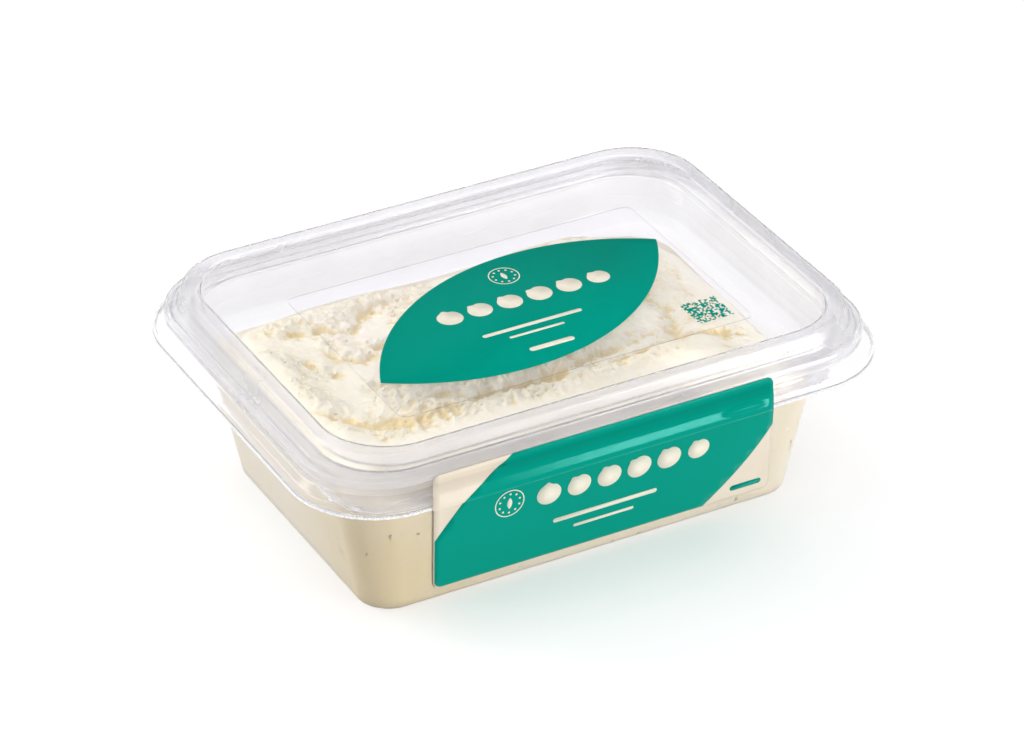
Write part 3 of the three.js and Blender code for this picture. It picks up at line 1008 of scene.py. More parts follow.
@dataclass
class Hummus:
    """The paste: it fills the tub to its shoulder, with a domed top that spoon strokes cross.

    Each layer in "broad", "fine" and "wobble" is a patch size and a height. The "wet" fields place the bank
    that the spoon pressed against the left wall, the "trench shade" ones the painted shade along the yellow
    crease, the "crease" ones say how far and how deep a dip is sought for the painted shade of creases, and the
    "lip" ones lean a crest over its furrow.
    """

    tub: Tub
    into_wall: float = 0.35
    contact: float = 41.6
    drop_front: float = 6.6
    drop_back: float = 3.8
    plateau: float = 49.8
    plateau_drop: float = 9.0
    end_slope: Range = (40, 84)
    edge_rounding: float = 15
    rings: int = 118
    side_rings: int = 22
    strokes: tuple[Stroke, ...] = (
        Stroke(((-38, -22), (-32, -23.4), (-24, -25)), 1.6, -0.9),
        Stroke(((-25, -25.2), (-14, -26.8), (-7, -26.4), (-2, -24.4)), 2.5, -2.9),
        Stroke(((1, -25.8), (12, -24.2), (23, -21)), 1.9, -1.5),
        Stroke(((-49, -4), (-38, -9), (-28, -13.5), (-14, -16.5)), 2.8, -1.0),
        Stroke(((-47, -14.5), (-35, -17.8), (-24, -20), (-12, -21.4), (3, -20.5), (20, -16)), 3.2, 1.6),
        Stroke(((-44, -24), (-24, -31), (-4, -34), (20, -32), (40, -30)), 6.5, 1.4),
        Stroke(((-67, -17), (-60, -23.5), (-52, -26.2), (-45, -26.8)), 4.6, -2.9),
        Stroke(((-52, -15), (-44, -18), (-37, -19.5)), 3.0, 1.4),
        Stroke(((-60, 34.5), (-50, 31.5), (-41, 27.5), (-36, 31), (-32, 35)), 1.9, -1.7),
        Stroke(((-60, 40), (-44, 37), (-28, 39.5)), 4.2, 1.2),
        Stroke(((-73, 24), (-73, -1), (-69, -24)), 5.5, 1.5),
        Stroke(((-51, 18), (-46.5, 10.7), (-38, 14.5)), 2.6, -2.0),
        Stroke(((-26, 8), (-4, 18), (20, 16), (38, 4)), 5.0, -2.4),
        Stroke(((-24, 17), (0, 27), (26, 24), (46, 10)), 5.5, 1.6),
        Stroke(((36, 30), (50, 14), (52, -6), (47, -20)), 3.6, -2.6),
        Stroke(((46, 34), (60, 14), (60, -8), (57, -18)), 4.4, 1.8),
        Stroke(((20, -28.5), (32, -26), (41, -23.2), (51, -21.8), (68, -20.5)), 2.3, -1.9),
        Stroke(((30, -20), (44, -17), (56, -15)), 3.0, -1.0),
    )
    wet_path: Way = ((-69.5, 27), (-67.5, 10), (-67, -3), (-63.5, -13))
    wet_width: float = 4.2
    wet_field: Way = ((-63, 24), (-56, 8), (-47, -3))
    wet_field_width: float = 9
    wet_field_share: float = 0.4
    trench_shade_path: Way = ((-63, -21.5), (-55, -25.5), (-46, -27.3), (-37, -27.8))
    trench_shade_width: float = 4.6
    trench_shade_share: float = 0.4
    lumps: tuple[Lump, ...] = (
        Lump(4, -21.5, 4.2, 2.0), Lump(14.5, -20.5, 3.8, 2.2), Lump(25, -18, 4.2, 1.8),
        Lump(-60.7, 17.2, 3.0, -1.5), Lump(-55.5, 7.2, 3.4, -1.6), Lump(53, -27, 4.0, 1.8),
        Lump(62, -25, 3.6, -2.0), Lump(66, -45.5, 5.5, 4.6), Lump(-10, -26.8, 3.4, -1.3),
        Lump(-2, -25.4, 4.2, -1.9),
    )
    broad: Layers = ((13, 1.0), (6, 0.55))
    stretch: float = 2.6
    slant: float = 0.12
    streak_height: float = 0.32
    streak_width: float = 2.3
    streak_depth: float = 8
    streak_reach: float = 7
    fine: Layers = ((3.6, 0.55), (1.9, 0.4), (1.1, 0.2))
    rim_width: float = 2.8
    back_shade_strip: float = 13.5
    wobble: Layers = ((9, 1.3), (4.1, 0.6), (1.7, 0.3))
    steep_side: float = 0.6
    gentle_side: float = 1.35
    furrow_power: float = 1.5
    lip_path: Way = ((-44, -17.5), (-30, -20), (-12, -22.6), (4, -21.6), (21, -17))
    lip_width: float = 4.0
    lip_lean: Spot = (0.25, -0.97)
    overhang: float = 0.7
    crease_reach: Range = (3.2, 0.8)
    crease_depth: Range = (1.3, 0.25)
    crease_shares: tuple[float, float, float] = (0.9, 0.4, 0.28)
    steep_slope: Range = (0.45, 1.3)
    steps: tuple[int, int, int] = (24, 164, 108)

    def gap(self) -> float:
        """Distance from the tub's outer face to the paste."""
        return self.tub.wall - self.into_wall

    def wall_outline(self, z: float) -> Outline:
        """The paste's outline against the tapered wall."""
        return self.tub.wall_foot.at(self.tub.wall_top, z).inset(self.gap())

    def depth_inside(self, x: np.ndarray, y: np.ndarray) -> np.ndarray:
        """How far each place lies inside the paste's outline."""
        edge = self.wall_outline(self.contact)
        dx, dy = np.abs(x) - (edge.a - edge.r), np.abs(y) - (edge.b - edge.r)
        outside = np.hypot(np.maximum(dx, 0), np.maximum(dy, 0)) + np.minimum(np.maximum(dx, dy), 0)
        return edge.r - outside

    def contact_level(self, x: np.ndarray, y: np.ndarray) -> np.ndarray:
        """Height at which the paste meets the wall."""
        back = smooth_step(-50, 50, y)
        drop = self.drop_front * (1 - back) + self.drop_back * back
        return self.contact - drop * smooth_step(self.end_slope[0], self.end_slope[1] - 4, x)

    def stroke_relief(self, x: np.ndarray, y: np.ndarray) -> np.ndarray:
        """Relief of the strokes and lumps. A furrow is steep on its left side, as the spoon leaves it.

        Args:
            x: places along the pack.
            y: places across it.

        Returns:
            The relief.
        """
        relief = np.zeros_like(x)
        wobble_x, wobble_y = x.copy(), y.copy()
        for index, (size, reach) in enumerate(self.wobble):
            wobble_x += reach * soft_noise(x, y, size, Pattern.WOBBLE_X + 2 * index)
            wobble_y += reach * soft_noise(x, y, size, Pattern.WOBBLE_Y + 2 * index)
        for stroke in self.strokes:
            away = path_distance(wobble_x, wobble_y, stroke.path)
            if stroke.height < 0:
                width = np.where(away > 0, stroke.width * self.steep_side, stroke.width * self.gentle_side)
                relief += stroke.height * bell(away, width, self.furrow_power)
            else:
                relief += stroke.height * bell(away, stroke.width)
        for lump in self.lumps:
            relief += lump.height * bell(np.hypot(wobble_x - lump.x, wobble_y - lump.y), lump.radius)
        return relief

    def level(self, x: np.ndarray, y: np.ndarray) -> np.ndarray:
        """Height of the surface.

        Args:
            x: places along the pack.
            y: places across it.

        Returns:
            The heights.
        """
        contact = self.contact_level(x, y)
        top = self.plateau - self.plateau_drop * smooth_step(*self.end_slope, x)
        share = np.clip(self.depth_inside(x, y) / self.edge_rounding, 0, 1)
        rise = 1 - (1 - share) ** 2
        relief = self.stroke_relief(x, y)
        for index, (size, height) in enumerate(self.broad):
            relief += height * soft_noise(x / self.stretch, y + self.slant * x, size, Pattern.BROAD + index)
        depth = self.depth_inside(x, y)
        along = np.arctan2(y, x) * 12
        streaks = soft_noise(depth, along, self.streak_width, Pattern.STREAKS)
        relief += self.streak_height * streaks * bell(depth - self.streak_depth, self.streak_reach)
        rough = self.roughness(x, y)
        for index, (size, height) in enumerate(self.fine):
            ridge = 1 - 2 * np.abs(soft_noise(x, y, size, Pattern.FINE + index))
            relief += height * ridge * rough
        return contact + (top - contact) * rise + relief * smooth_step(0, 0.4, share)

    def hollow_shade(self, x: np.ndarray, y: np.ndarray, z: np.ndarray) -> np.ndarray:
        """How much painted shade each place takes: more deep in a dip and on a steep face, faded out near the
        wall, plus the band along the yellow crease.

        Args:
            x: places along the pack.
            y: places across it.
            z: their heights.

        Returns:
            0 in the open, up to about 1 in a crease.
        """
        turns = np.linspace(0, 2 * math.pi, 8, endpoint=False)
        far, close = self.crease_reach
        wide = [self.level(x + far * math.cos(t), y + far * math.sin(t)) for t in turns]
        near = [self.level(x + close * math.cos(t), y + close * math.sin(t)) for t in turns[::2]]
        sunk = np.clip((np.mean(wide, axis=0) - z) / self.crease_depth[0], 0, 1)
        pitted = np.clip((np.mean(near, axis=0) - z) / self.crease_depth[1], 0, 1)
        slope = np.hypot(near[0] - near[2], near[1] - near[3]) / (2 * close)
        steep = smooth_step(*self.steep_slope, slope)
        inside = smooth_step(3, 9, self.depth_inside(x, y))
        # Painted shade along the yellow crease.
        trench_shade = self.trench_shade_share * bell(path_distance(x, y, self.trench_shade_path), self.trench_shade_width)
        of_sunk, of_pitted, of_steep = self.crease_shares
        return (of_sunk * sunk + of_pitted * pitted + of_steep * steep) * inside + trench_shade

    def smear_and_shade(self, x: np.ndarray, y: np.ndarray) -> np.ndarray:
        """How much grey-brown each place shows: a ragged strip where the paste meets the wall, widest at the
        back, partly paste wiped onto the wall and partly painted shade.
        """
        at_back = smooth_step(30, 46, y)
        # The strip is widest at the back, where it is painted shade on the slope down to the wall.
        width = self.rim_width + (self.back_shade_strip - self.rim_width) * at_back
        ragged = self.depth_inside(x, y) + (0.8 + 0.9 * at_back) * soft_noise(x, y, 4, Pattern.SMEAR_AND_SHADE)
        ragged = ragged + 0.5 * soft_noise(x, y, 1.7, Pattern.SMEAR_AND_SHADE_FINE)
        return (1 - smooth_step(width * 0.8, width, ragged)) * (1 - 0.4 * at_back)

    def moisture(self, x: np.ndarray, y: np.ndarray) -> np.ndarray:
        """How wet the surface is: most on the bank that the spoon pressed against the left wall."""
        patches = 0.75 + 0.5 * soft_noise(x, y, 5, Pattern.WET)
        bank = bell(path_distance(x, y, self.wet_path), self.wet_width)
        inner = bell(path_distance(x, y, self.wet_field), self.wet_field_width)
        return np.clip((bank + self.wet_field_share * inner) * patches, 0, 1)

    def roughness(self, x: np.ndarray, y: np.ndarray) -> np.ndarray:
        """How crumbly the surface is: little on the smooth strips along the walls, most by the strokes."""
        coarse, fine = soft_noise(x, y, 12, Pattern.CRUMBLY), soft_noise(x, y, 5, Pattern.CRUMBLY_FINE)
        patches = smooth_step(-0.5, 0.6, coarse + 0.4 * fine)
        near = np.zeros_like(x)
        for stroke in self.strokes:
            near = np.maximum(near, bell(path_distance(x, y, stroke.path), stroke.width * 1.6))
        bank = 5 + 11 * smooth_step(-20, -34, y)
        inner = smooth_step(0, 8, self.depth_inside(x, y) - bank)
        return (0.15 + 0.75 * patches + 0.7 * near) * (0.08 + 0.92 * inner)

    def mesh(self) -> Any:
        """The paste's closed mesh with the numbers that its material reads.

        Returns:
            The object.
        """
        foot_level, foot_rise = self.tub.floor - self.into_wall, self.tub.wall_foot.z + 0.6
        foot = self.tub.base.inset(self.gap(), foot_level).points(*self.steps)
        low = self.wall_outline(foot_rise).points(*self.steps)
        high = self.wall_outline(self.contact).points(*self.steps)
        x, y = high[:, 0], high[:, 1]
        coarse, fine = soft_noise(x, y, 9, Pattern.RAGGED_RIM), soft_noise(x, y, 3, Pattern.RAGGED_RIM_FINE)
        levels = self.contact_level(x, y) + (0.9 * coarse + 0.4 * fine) - 0.4
        still = np.zeros(len(foot))
        rings, flanks = [foot], [still + 1]
        tops: dict[str, list[np.ndarray]] = {name: [still] for name in ("hollow_shade", "crumb", "moist", "smear_and_shade")}
        for k in range(self.side_rings + 1):
            z = foot_rise + (levels - foot_rise) * k / self.side_rings
            along = ((z - foot_rise) / (self.contact - foot_rise))[:, None]
            flat = low[:, :2] + (high[:, :2] - low[:, :2]) * along
            rings.append(np.column_stack([flat, z]))
            flanks.append(np.full(len(z), 1.0 if k < self.side_rings else 0.5))
            for rows in tops.values():
                rows.append(still)
        rim = rings[-1]
        for j in range(1, self.rings):
            scale = 1 - j / self.rings
            x, y = rim[:, 0] * scale, rim[:, 1] * scale
            z = self.level(x, y)
            # Painted shade of creases and steep faces.
            tops["hollow_shade"].append(self.hollow_shade(x, y, z))
            tops["crumb"].append(np.clip(self.roughness(x, y), 0, 1))
            tops["moist"].append(self.moisture(x, y))
            tops["smear_and_shade"].append(self.smear_and_shade(x, y))
            settle = math.exp(-j / 3)
            z = z + (rim[:, 2] - self.contact_level(rim[:, 0], rim[:, 1])) * settle
            lean = self.overhang * bell(path_distance(x, y, self.lip_path), self.lip_width)
            rings.append(np.column_stack([x + self.lip_lean[0] * lean, y + self.lip_lean[1] * lean, z]))
            flanks.append(still)
        thing = mesh_object("hummus_body", np.vstack(rings), skin_faces(len(rings), len(foot)), 180)
        for name, rows in {"flank": flanks, **tops}.items():
            number_points(thing, name, np.concatenate(rows))
        return thing

    def crumbs(self, body: Any, material: Material) -> Any:
        """Small crumbs of chickpea that stand half out of the surface.

        Args:
            body: the paste.
            material: its material.

        Returns:
            The crumbs as one object.
        """
        tree = NodeTree(
            "crumb_scatter",
            {
                "Density": ("NodeSocketFloat", 170000.0),
                "Radius": ("NodeSocketFloat", 0.5 * MM),
                "Roughest": ("NodeSocketFloat", 0.7),
                "Smallest": ("NodeSocketFloat", 0.35),
                "Largest": ("NodeSocketFloat", 1.15),
                "Flatness": ("NodeSocketFloat", 0.6),
                "Seed": ("NodeSocketInt", 5),
                "Material": ("NodeSocketMaterial", material),
            },
        )
        crumbly = tree.node("GeometryNodeInputNamedAttribute", {"data_type": "FLOAT"}, {"Name": "crumb"})
        sockets = {"A": crumbly.outputs[0], "B": "Roughest"}
        top = tree.node("FunctionNodeCompare", {"operation": "GREATER_THAN"}, sockets)
        sockets = {"Mesh": "Geometry", "Selection": top.outputs[0], "Density": "Density", "Seed": "Seed"}
        spread = tree.node("GeometryNodeDistributePointsOnFaces", None, sockets)
        ball = tree.node("GeometryNodeMeshIcoSphere", None, {"Radius": "Radius", "Subdivisions": 2})
        sockets = {2: "Smallest", 3: "Largest", "Seed": "Seed"}
        size = tree.node("FunctionNodeRandomValue", {"data_type": "FLOAT"}, sockets).outputs[1]
        flat = tree.node("ShaderNodeMath", {"operation": "MULTIPLY"}, {0: size, 1: "Flatness"}).outputs[0]
        squash = tree.node("ShaderNodeCombineXYZ", None, {0: size, 1: size, 2: flat}).outputs[0]
        sockets = {"Rotation": spread.outputs["Rotation"], "Scale": squash}
        tree.scatter(spread.outputs[0], ball.outputs[0], sockets)
        grains = tree.grow(body, "hummus_crumbs")
        grains.data.polygons.foreach_set("use_smooth", [True] * len(grains.data.polygons))
        return grains

    def build(self, material: Material) -> None:
        """Makes and dresses the paste."""
        body = self.mesh()
        crumbs = self.crumbs(body, material)
        dress(body, material, Slot.HUMMUS, "hummus")
        dress(crumbs, material, Slot.HUMMUS)


def disc(x: float, y: float, radius: float, steps: int = 40) -> Shape2D:
    """A filled circle."""
    angles = np.linspace(0, 2 * math.pi, steps, endpoint=False)
    points = np.column_stack([x + radius * np.cos(angles), y + radius * np.sin(angles)])
    return filled(points)


def ring(x: float, y: float, radius: float, line: float, steps: int = 56) -> Shape2D:
    """A circle drawn as a line."""
    outer, _ = disc(x, y, radius, steps)
    inner, _ = disc(x, y, radius - line, steps)
    faces = [[k, (k + 1) % steps, steps + (k + 1) % steps, steps + k] for k in range(steps)]
    return np.vstack([outer, inner]), faces


def bar(x0: float, x1: float, y: float, thick: float) -> Shape2D:
    """A straight bar with round ends."""
    steps, radius = 8, thick / 2
    right = np.linspace(-math.pi / 2, math.pi / 2, steps)
    left = right + math.pi
    points = [(x1 - radius + radius * math.cos(t), y + radius * math.sin(t)) for t in right]
    points += [(x0 + radius + radius * math.cos(t), y + radius * math.sin(t)) for t in left]
    return filled(np.array(points))


def leaf(tip_a: Spot, tip_b: Spot, bulge: float, steps: int = 40) -> np.ndarray:
    """The pointed oval between two tips, bounded by two equal arcs.

    Args:
        tip_a: the left tip.
        tip_b: the right tip.
        bulge: how far each arc stands off the line between the tips.
        steps: steps in each arc.

    Returns:
        The outline's points, anticlockwise.
    """
    start, end = np.array(tip_a), np.array(tip_b)
    half = np.linalg.norm(end - start) / 2
    along = (end - start) / (2 * half)
    across = np.array([-along[1], along[0]])
    radius = (half * half + bulge * bulge) / (2 * bulge)
    reach = math.asin(half / radius)
    centre = (start + end) / 2
    points = []
    for side in (-1, 1):
        for k in range(steps):
            angle = -side * reach * (2 * k / steps - 1)
            offset = radius * math.cos(angle) - (radius - bulge)
            points.append(centre + along * radius * math.sin(angle) + across * side * offset)
    return np.array(points)


def pea_outline(radius: float, steps: int = 44) -> np.ndarray:
    """The outline of a chickpea: round, with a small beak and a dip beside it."""
    angles = np.linspace(0, 2 * math.pi, steps, endpoint=False)
    beak = 0.15 * np.exp(-(((angles - 1.95) / 0.2) ** 2))
    dip = -0.07 * np.exp(-(((angles - 1.5) / 0.22) ** 2))
    reach = radius * (1 + 0.03 * np.cos(2 * angles) + beak + dip)
    return np.column_stack([reach * np.cos(angles), reach * np.sin(angles)])


def filled(outline: np.ndarray) -> Shape2D:
    """The shape inside an outline."""
    return outline, [list(range(len(outline)))]


def joined(shapes: Sequence[Shape2D]) -> Shape2D:
    """Joins flat shapes into one."""
    points, faces, start = [], [], 0
    for shape_points, shape_faces in shapes:
        points.append(shape_points)
        faces += [[start + k for k in face] for face in shape_faces]
        start += len(shape_points)
    return np.vstack(points), faces


def flat_of(thing: Any) -> Shape2D:
    """Reads a flat mesh back as a shape in millimetres and removes its object."""
    points = np.array([v.co[:2] for v in thing.data.vertices]) / MM
    faces = [list(p.vertices) for p in thing.data.polygons]
    bpy.data.objects.remove(thing)
    return points, faces


def pea_row(x0: float, x1: float, y: float, radius: float, count: int, material: Material) -> Shape2D:
    """A row of chickpeas, each turned and sized a little differently.

    Args:
        x0: the first one's middle.
        x1: the last one's middle.
        y: the row's level.
        radius: their radius.
        count: how many there are.
        material: the print's material.

    Returns:
        The flat shape.
    """
    tree = NodeTree(
        "pea_row",
        {
            "Count": ("NodeSocketInt", count),
            "Start": ("NodeSocketVector", (x0 * MM, y * MM, 0)),
            "Step": ("NodeSocketVector", ((x1 - x0) / (count - 1) * MM, 0, 0)),
            "Least turn": ("NodeSocketVector", (0, 0, -0.45)),
            "Most turn": ("NodeSocketVector", (0, 0, 0.45)),
            "Smallest": ("NodeSocketFloat", 0.84),
            "Seed": ("NodeSocketInt", 3),
            "Material": ("NodeSocketMaterial", material),
        },
    )
    sockets = {"Count": "Count", "Start Location": "Start", "Offset": "Step"}
    line = tree.node("GeometryNodeMeshLine", {"mode": "OFFSET"}, sockets)
    sockets = {0: "Least turn", 1: "Most turn", "Seed": "Seed"}
    turn = tree.node("FunctionNodeRandomValue", {"data_type": "FLOAT_VECTOR"}, sockets)
    sockets = {2: "Smallest", 3: 1.0, "Seed": "Seed"}
    size = tree.node("FunctionNodeRandomValue", {"data_type": "FLOAT"}, sockets)
    tree.scatter(line.outputs[0], "Geometry", {"Rotation": turn.outputs[0], "Scale": size.outputs[1]})
    outline = pea_outline(radius)
    flat = np.column_stack([outline, np.zeros(len(outline))])
    pea = mesh_object("pea", flat, [list(range(len(flat)))])
    row = tree.grow(pea, "pea_row_mesh")
    bpy.data.objects.remove(pea)
    return flat_of(row)


def block_field(x: float, y: float, side: float, cells: int, material: Material) -> Shape2D:
    """A square field of random small blocks, round a plain frame of whole ones.

    Args:
        x: the field's middle.
        y: the field's middle.
        side: its side.
        cells: blocks along a side.
        material: the print's material.

    Returns:
        The flat shape.
    """
    pitch = side / cells
    tree = NodeTree(
        "block_field",
        {
            "Extent": ("NodeSocketFloat", (side - pitch) * MM),
            "Cells": ("NodeSocketInt", cells),
            "Block": ("NodeSocketFloat", pitch * 0.98 * MM),
            "Share": ("NodeSocketFloat", 0.56),
            "Seed": ("NodeSocketInt", 9),
            "Material": ("NodeSocketMaterial", material),
        },
    )
    sockets = {"Size X": "Extent", "Size Y": "Extent", "Vertices X": "Cells", "Vertices Y": "Cells"}
    grid = tree.node("GeometryNodeMeshGrid", None, sockets)
    sockets = {"Probability": "Share", "Seed": "Seed"}
    chance = tree.node("FunctionNodeRandomValue", {"data_type": "BOOLEAN"}, sockets)
    sockets = {"Size X": "Block", "Size Y": "Block", "Vertices X": 2, "Vertices Y": 2}
    block = tree.node("GeometryNodeMeshGrid", None, sockets)
    tree.scatter(grid.outputs[0], block.outputs[0], {"Selection": chance.outputs[3]})
    carrier = mesh_object("block_seed", np.array([(0, 0, 0), (1, 0, 0), (0, 1, 0)]), [[0, 1, 2]])
    blocks = tree.grow(carrier, "block_field_mesh")
    bpy.data.objects.remove(carrier)
    points, faces = flat_of(blocks)
    return points + np.array([x, y]), faces


def seal(x: float, y: float, radius: float) -> Shape2D:
    """A plain round mark: a ring with dots inside it and a small pointed oval in the middle."""
    count, reach, turn = 10, 0.7 * radius, 0.3
    dots = []
    for k in range(count):
        angle = 2 * math.pi * k / count + turn
        dots.append(disc(x + reach * math.cos(angle), y + reach * math.sin(angle), radius * 0.075, 14))
    middle = leaf((x, y - radius * 0.42), (x, y + radius * 0.42), radius * 0.17, 12)
    return joined([ring(x, y, radius, radius * 0.07), *dots, filled(middle)])


def sheet_from(
    name: str,
    shape: Shape2D,
    place: Callable[[np.ndarray], np.ndarray],
    thick: float = 0.03,
) -> Any:
    """Lays a flat shape on a surface as a thin closed sheet.

    Args:
        name: the object's name.
        shape: its points and faces.
        place: turns flat points into points in space.
        thick: how far the sheet reaches back from there.

    Returns:
        The object.
    """
    points, faces = shape
    sheet = mesh_object(name, place(points), faces, 60)
    solid = sheet.modifiers.new("thickness", "SOLIDIFY")
    solid.thickness = thick * MM
    solid.offset = -1
    return sheet


def cut_to_grid(shape: Shape2D, columns: Sequence[float], rows: Sequence[float]) -> Shape2D:
    """Cuts a flat shape along grid lines so that it can follow a bent surface.

    Args:
        shape: its points and faces.
        columns: first coordinates of the upright cuts.
        rows: second coordinates of the level cuts.

    Returns:
        The cut shape.
    """
    points, faces = shape
    work = bmesh.new()
    corners = [work.verts.new((p[0], p[1], 0)) for p in points]
    for face in faces:
        work.faces.new([corners[k] for k in face])
    for axis, cuts in ((0, columns), (1, rows)):
        normal = Vector((1, 0, 0)) if axis == 0 else Vector((0, 1, 0))
        for value in cuts:
            parts = work.verts[:] + work.edges[:] + work.faces[:]
            bmesh.ops.bisect_plane(work, geom=parts, dist=1e-5, plane_co=normal * value, plane_no=normal)
    work.verts.index_update()
    cut_points = np.array([v.co[:2] for v in work.verts])
    cut_faces = [[v.index for v in f.verts] for f in work.faces]
    work.free()
    return cut_points, cut_faces


@dataclass
class LidLabel:
    """A clear film on the lid's panel, printed with a green leaf field and plain marks."""

    lid: Lid
    left: float = -57.8
    right: float = 63.8
    front: float = -37.8
    back: float = 39.8
    corner: float = 3.0
    corner_steps: int = 10
    thickness: float = 0.15
    gap: float = 0.3
    ink_lift: float = 0.05
    tips: tuple[Spot, Spot] = ((-54.1, -17.3), (60.9, 17.1))
    bulge: float = 29.0

    def level(self) -> float:
        """Height of the film's upper side."""
        return self.lid.panel_level + self.gap + self.thickness

    def film(self) -> Any:
        """The clear film with round corners.

        Returns:
            The object.
        """
        half_a, half_b = (self.right - self.left) / 2, (self.back - self.front) / 2
        shift = np.array([(self.left + self.right) / 2, (self.back + self.front) / 2, 0])
        top = self.level()
        levels = (top - self.thickness, top)
        rings = [Outline(half_a, half_b, self.corner, z).points(self.corner_steps) + shift for z in levels]
        return mesh_object("lid_film", np.vstack(rings), skin_faces(len(rings), len(rings[0])))

    def build(
        self,
        clear: Material,
        cut: Material,
        green: Material,
        cream: Material,
    ) -> None:
        """Makes and dresses the film and its print.

        Args:
            clear: the film's material.
            cut: the film's cut edge, dark grey as a painted shade line.
            green: the green ink.
            cream: the cream ink.
        """
        film = dress(self.film(), clear, Slot.FILM, "label_top")
        second_finish(film, cut, lambda face: abs(face.normal.z) < 0.5)
        top = self.level()

        def lay(lift: float) -> Callable[[np.ndarray], np.ndarray]:
            """Places flat points on the film, lifted a little."""
            return lambda points: np.column_stack([points, np.full(len(points), top + lift)])

        leaf_field = filled(leaf(*self.tips, self.bulge))
        dress(sheet_from("lid_leaf_print", leaf_field, lay(self.ink_lift)), green, Slot.FILM)
        marks = joined([
            seal(8.0, 20.0, 5.0),
            pea_row(-18.5, 33.5, 5.6, 4.1, 6, cream),
            bar(-15.0, 19.4, -8.9, 1.6),
            bar(-8.0, 11.0, -13.2, 1.1),
            bar(-6.0, 9.4, -22.2, 2.2),
        ])
        dress(sheet_from("lid_marks_print", marks, lay(2 * self.ink_lift)), cream, Slot.FILM)
        blocks = block_field(52.9, -27.5, 12.3, 21, green)
        dress(sheet_from("lid_block_print", blocks, lay(self.ink_lift)), green, Slot.FILM)


@dataclass
class FrontLabel:
    """The sticker that seals the pack: over the bead, skirt and lip, across the gap and down the front."""

    lid: Lid
    tub: Tub
    gap: float = 0.16
    thickness: float = 0.25
    glue: float = 0.1
    ink_lift: float = 0.05
    lid_span_top: Spot = (-63.8, 51.2)
    lid_span_lip: Spot = (-65.9, 49.1)
    wall_span_high: Spot = (-55.8, 61.4)
    wall_span_low: Spot = (-54.2, 62.8)
    top: float = 58.6
    on_wall: float = 35.8
    bottom: float = 4.4
    corner: float = 2.6
    corner_top: float = 2.4
    paper_edge: float = 0.25
    field_top_share: float = 0.227
    field_lip_share: float = 0.088
    field_left_level: float = 23.2
    field_right_level: float = 29.7
    field_bottom_right: float = 39.2
    tab_x: float = 38.8
    tab_half: float = 7.8
    tab_height: float = 1.7
    tab_rise: float = 0.45
    tab_drop: float = 0.7
    course: list[Spot] = field(default_factory=list)

    def __post_init__(self) -> None:
        """Works out the label's course and the length along it."""
        bend = self.lid.upper
        lip = bend[Bend.LIP_EDGE]
        corners = [
            (bend[Bend.BEAD_TOP].b - 0.1, self.top),
            (bend[Bend.BEAD_TOP].b + 0.12, self.top - 0.45),
            (bend[Bend.BEAD].b, bend[Bend.BEAD].z),
            (bend[Bend.BEAD_FOOT].b, bend[Bend.BEAD_FOOT].z + 0.35),
            (bend[Bend.SKIRT_FOOT].b, bend[Bend.SKIRT_FOOT].z + 0.3),
            (lip.b, lip.z + 0.7),
            (lip.b, lip.z - 0.2),
            (self.tub.shoulder.b, self.tub.shoulder.z - 0.4),
            (self._wall_b(self.on_wall), self.on_wall),
            (self._wall_b(self.bottom), self.bottom),
        ]
        places = [np.array((-(b + self.gap), z)) for b, z in corners]
        self.course = self._rounded(places)
        steps = [math.dist(p, q) for p, q in zip(self.course, self.course[1:])]
        self.lengths = np.concatenate([[0.0], np.cumsum(steps)])
        self.total = float(self.lengths[-1])
        self.lip_length = self._length_at(lip.z - 0.1)
        self.wall_length = self._length_at(self.on_wall)

    def _wall_b(self, z: float) -> float:
        """Half width of the tub's tapered wall at a height."""
        return self.tub.wall_foot.at(self.tub.wall_top, z).b

    def _rounded(self, places: list[np.ndarray]) -> list[Spot]:
        """Rounds the bends of the course.

        Args:
            places: its corners.

        Returns:
            The finer course.
        """
        reach, most, steps = 0.9, 0.4, 5
        fine = [tuple(places[0])]
        for before, here, after in zip(places, places[1:], places[2:]):
            cut_in = min(reach, most * math.dist(before, here)) / math.dist(before, here)
            cut_out = min(reach, most * math.dist(after, here)) / math.dist(after, here)
            start, end = here + (before - here) * cut_in, here + (after - here) * cut_out
            fine += [tuple(point) for point in round_bend(start, here, end, steps)]
        fine.append(tuple(places[-1]))
        return fine

    def _length_at(self, z: float) -> float:
        """Length along the course down to a height."""
        heights = np.array([p[1] for p in self.course])
        return float(np.interp(-z, -heights, self.lengths))

    def span(self, length: np.ndarray) -> tuple[np.ndarray, np.ndarray]:
        """The label's left and right ends at a length along its course.

        Args:
            length: lengths along the course.

        Returns:
            The two ends.
        """
        course = np.array(self.course)
        top_b, lip_b = self.lid.upper[Bend.BEAD_TOP].b, self.lid.upper[Bend.LIP_EDGE].b
        lean = (-np.interp(length, self.lengths, course[:, 0]) - self.gap - top_b) / (lip_b - top_b)
        lean = np.clip(lean, 0, 1)
        stations = [self.lip_length, self.wall_length, self.total]
        ends = []
        for k in (0, 1):
            on_lid = self.lid_span_top[k] + (self.lid_span_lip[k] - self.lid_span_top[k]) * lean
            levels = [self.lid_span_lip[k], self.wall_span_high[k], self.wall_span_low[k]]
            ends.append(np.where(length < self.lip_length, on_lid, np.interp(length, stations, levels)))
        left, right = ends
        return left, right

    def place(self, points: np.ndarray, lift: float) -> np.ndarray:
        """Lays flat points on the label.

        Args:
            points: share of the width from the left, and length down the course.
            lift: distance off the course.

        Returns:
            Points in space.
        """
        share, length = points[:, 0], points[:, 1]
        left, right = self.span(length)
        here = self._on_course(length)
        step = 0.05
        ahead = self._on_course(length + step) - self._on_course(length - step)
        size = np.hypot(ahead[0], ahead[1])
        x = left + (right - left) * share
        raised = lift + self.tab_rise * self.tab(x, length)
        return np.column_stack([x, here[0] + ahead[1] / size * raised, here[1] - ahead[0] / size * raised])

    def _on_course(self, length: np.ndarray) -> np.ndarray:
        """Y and Z of the course at each length."""
        return np.array([np.interp(length, self.lengths, row) for row in np.array(self.course).T])

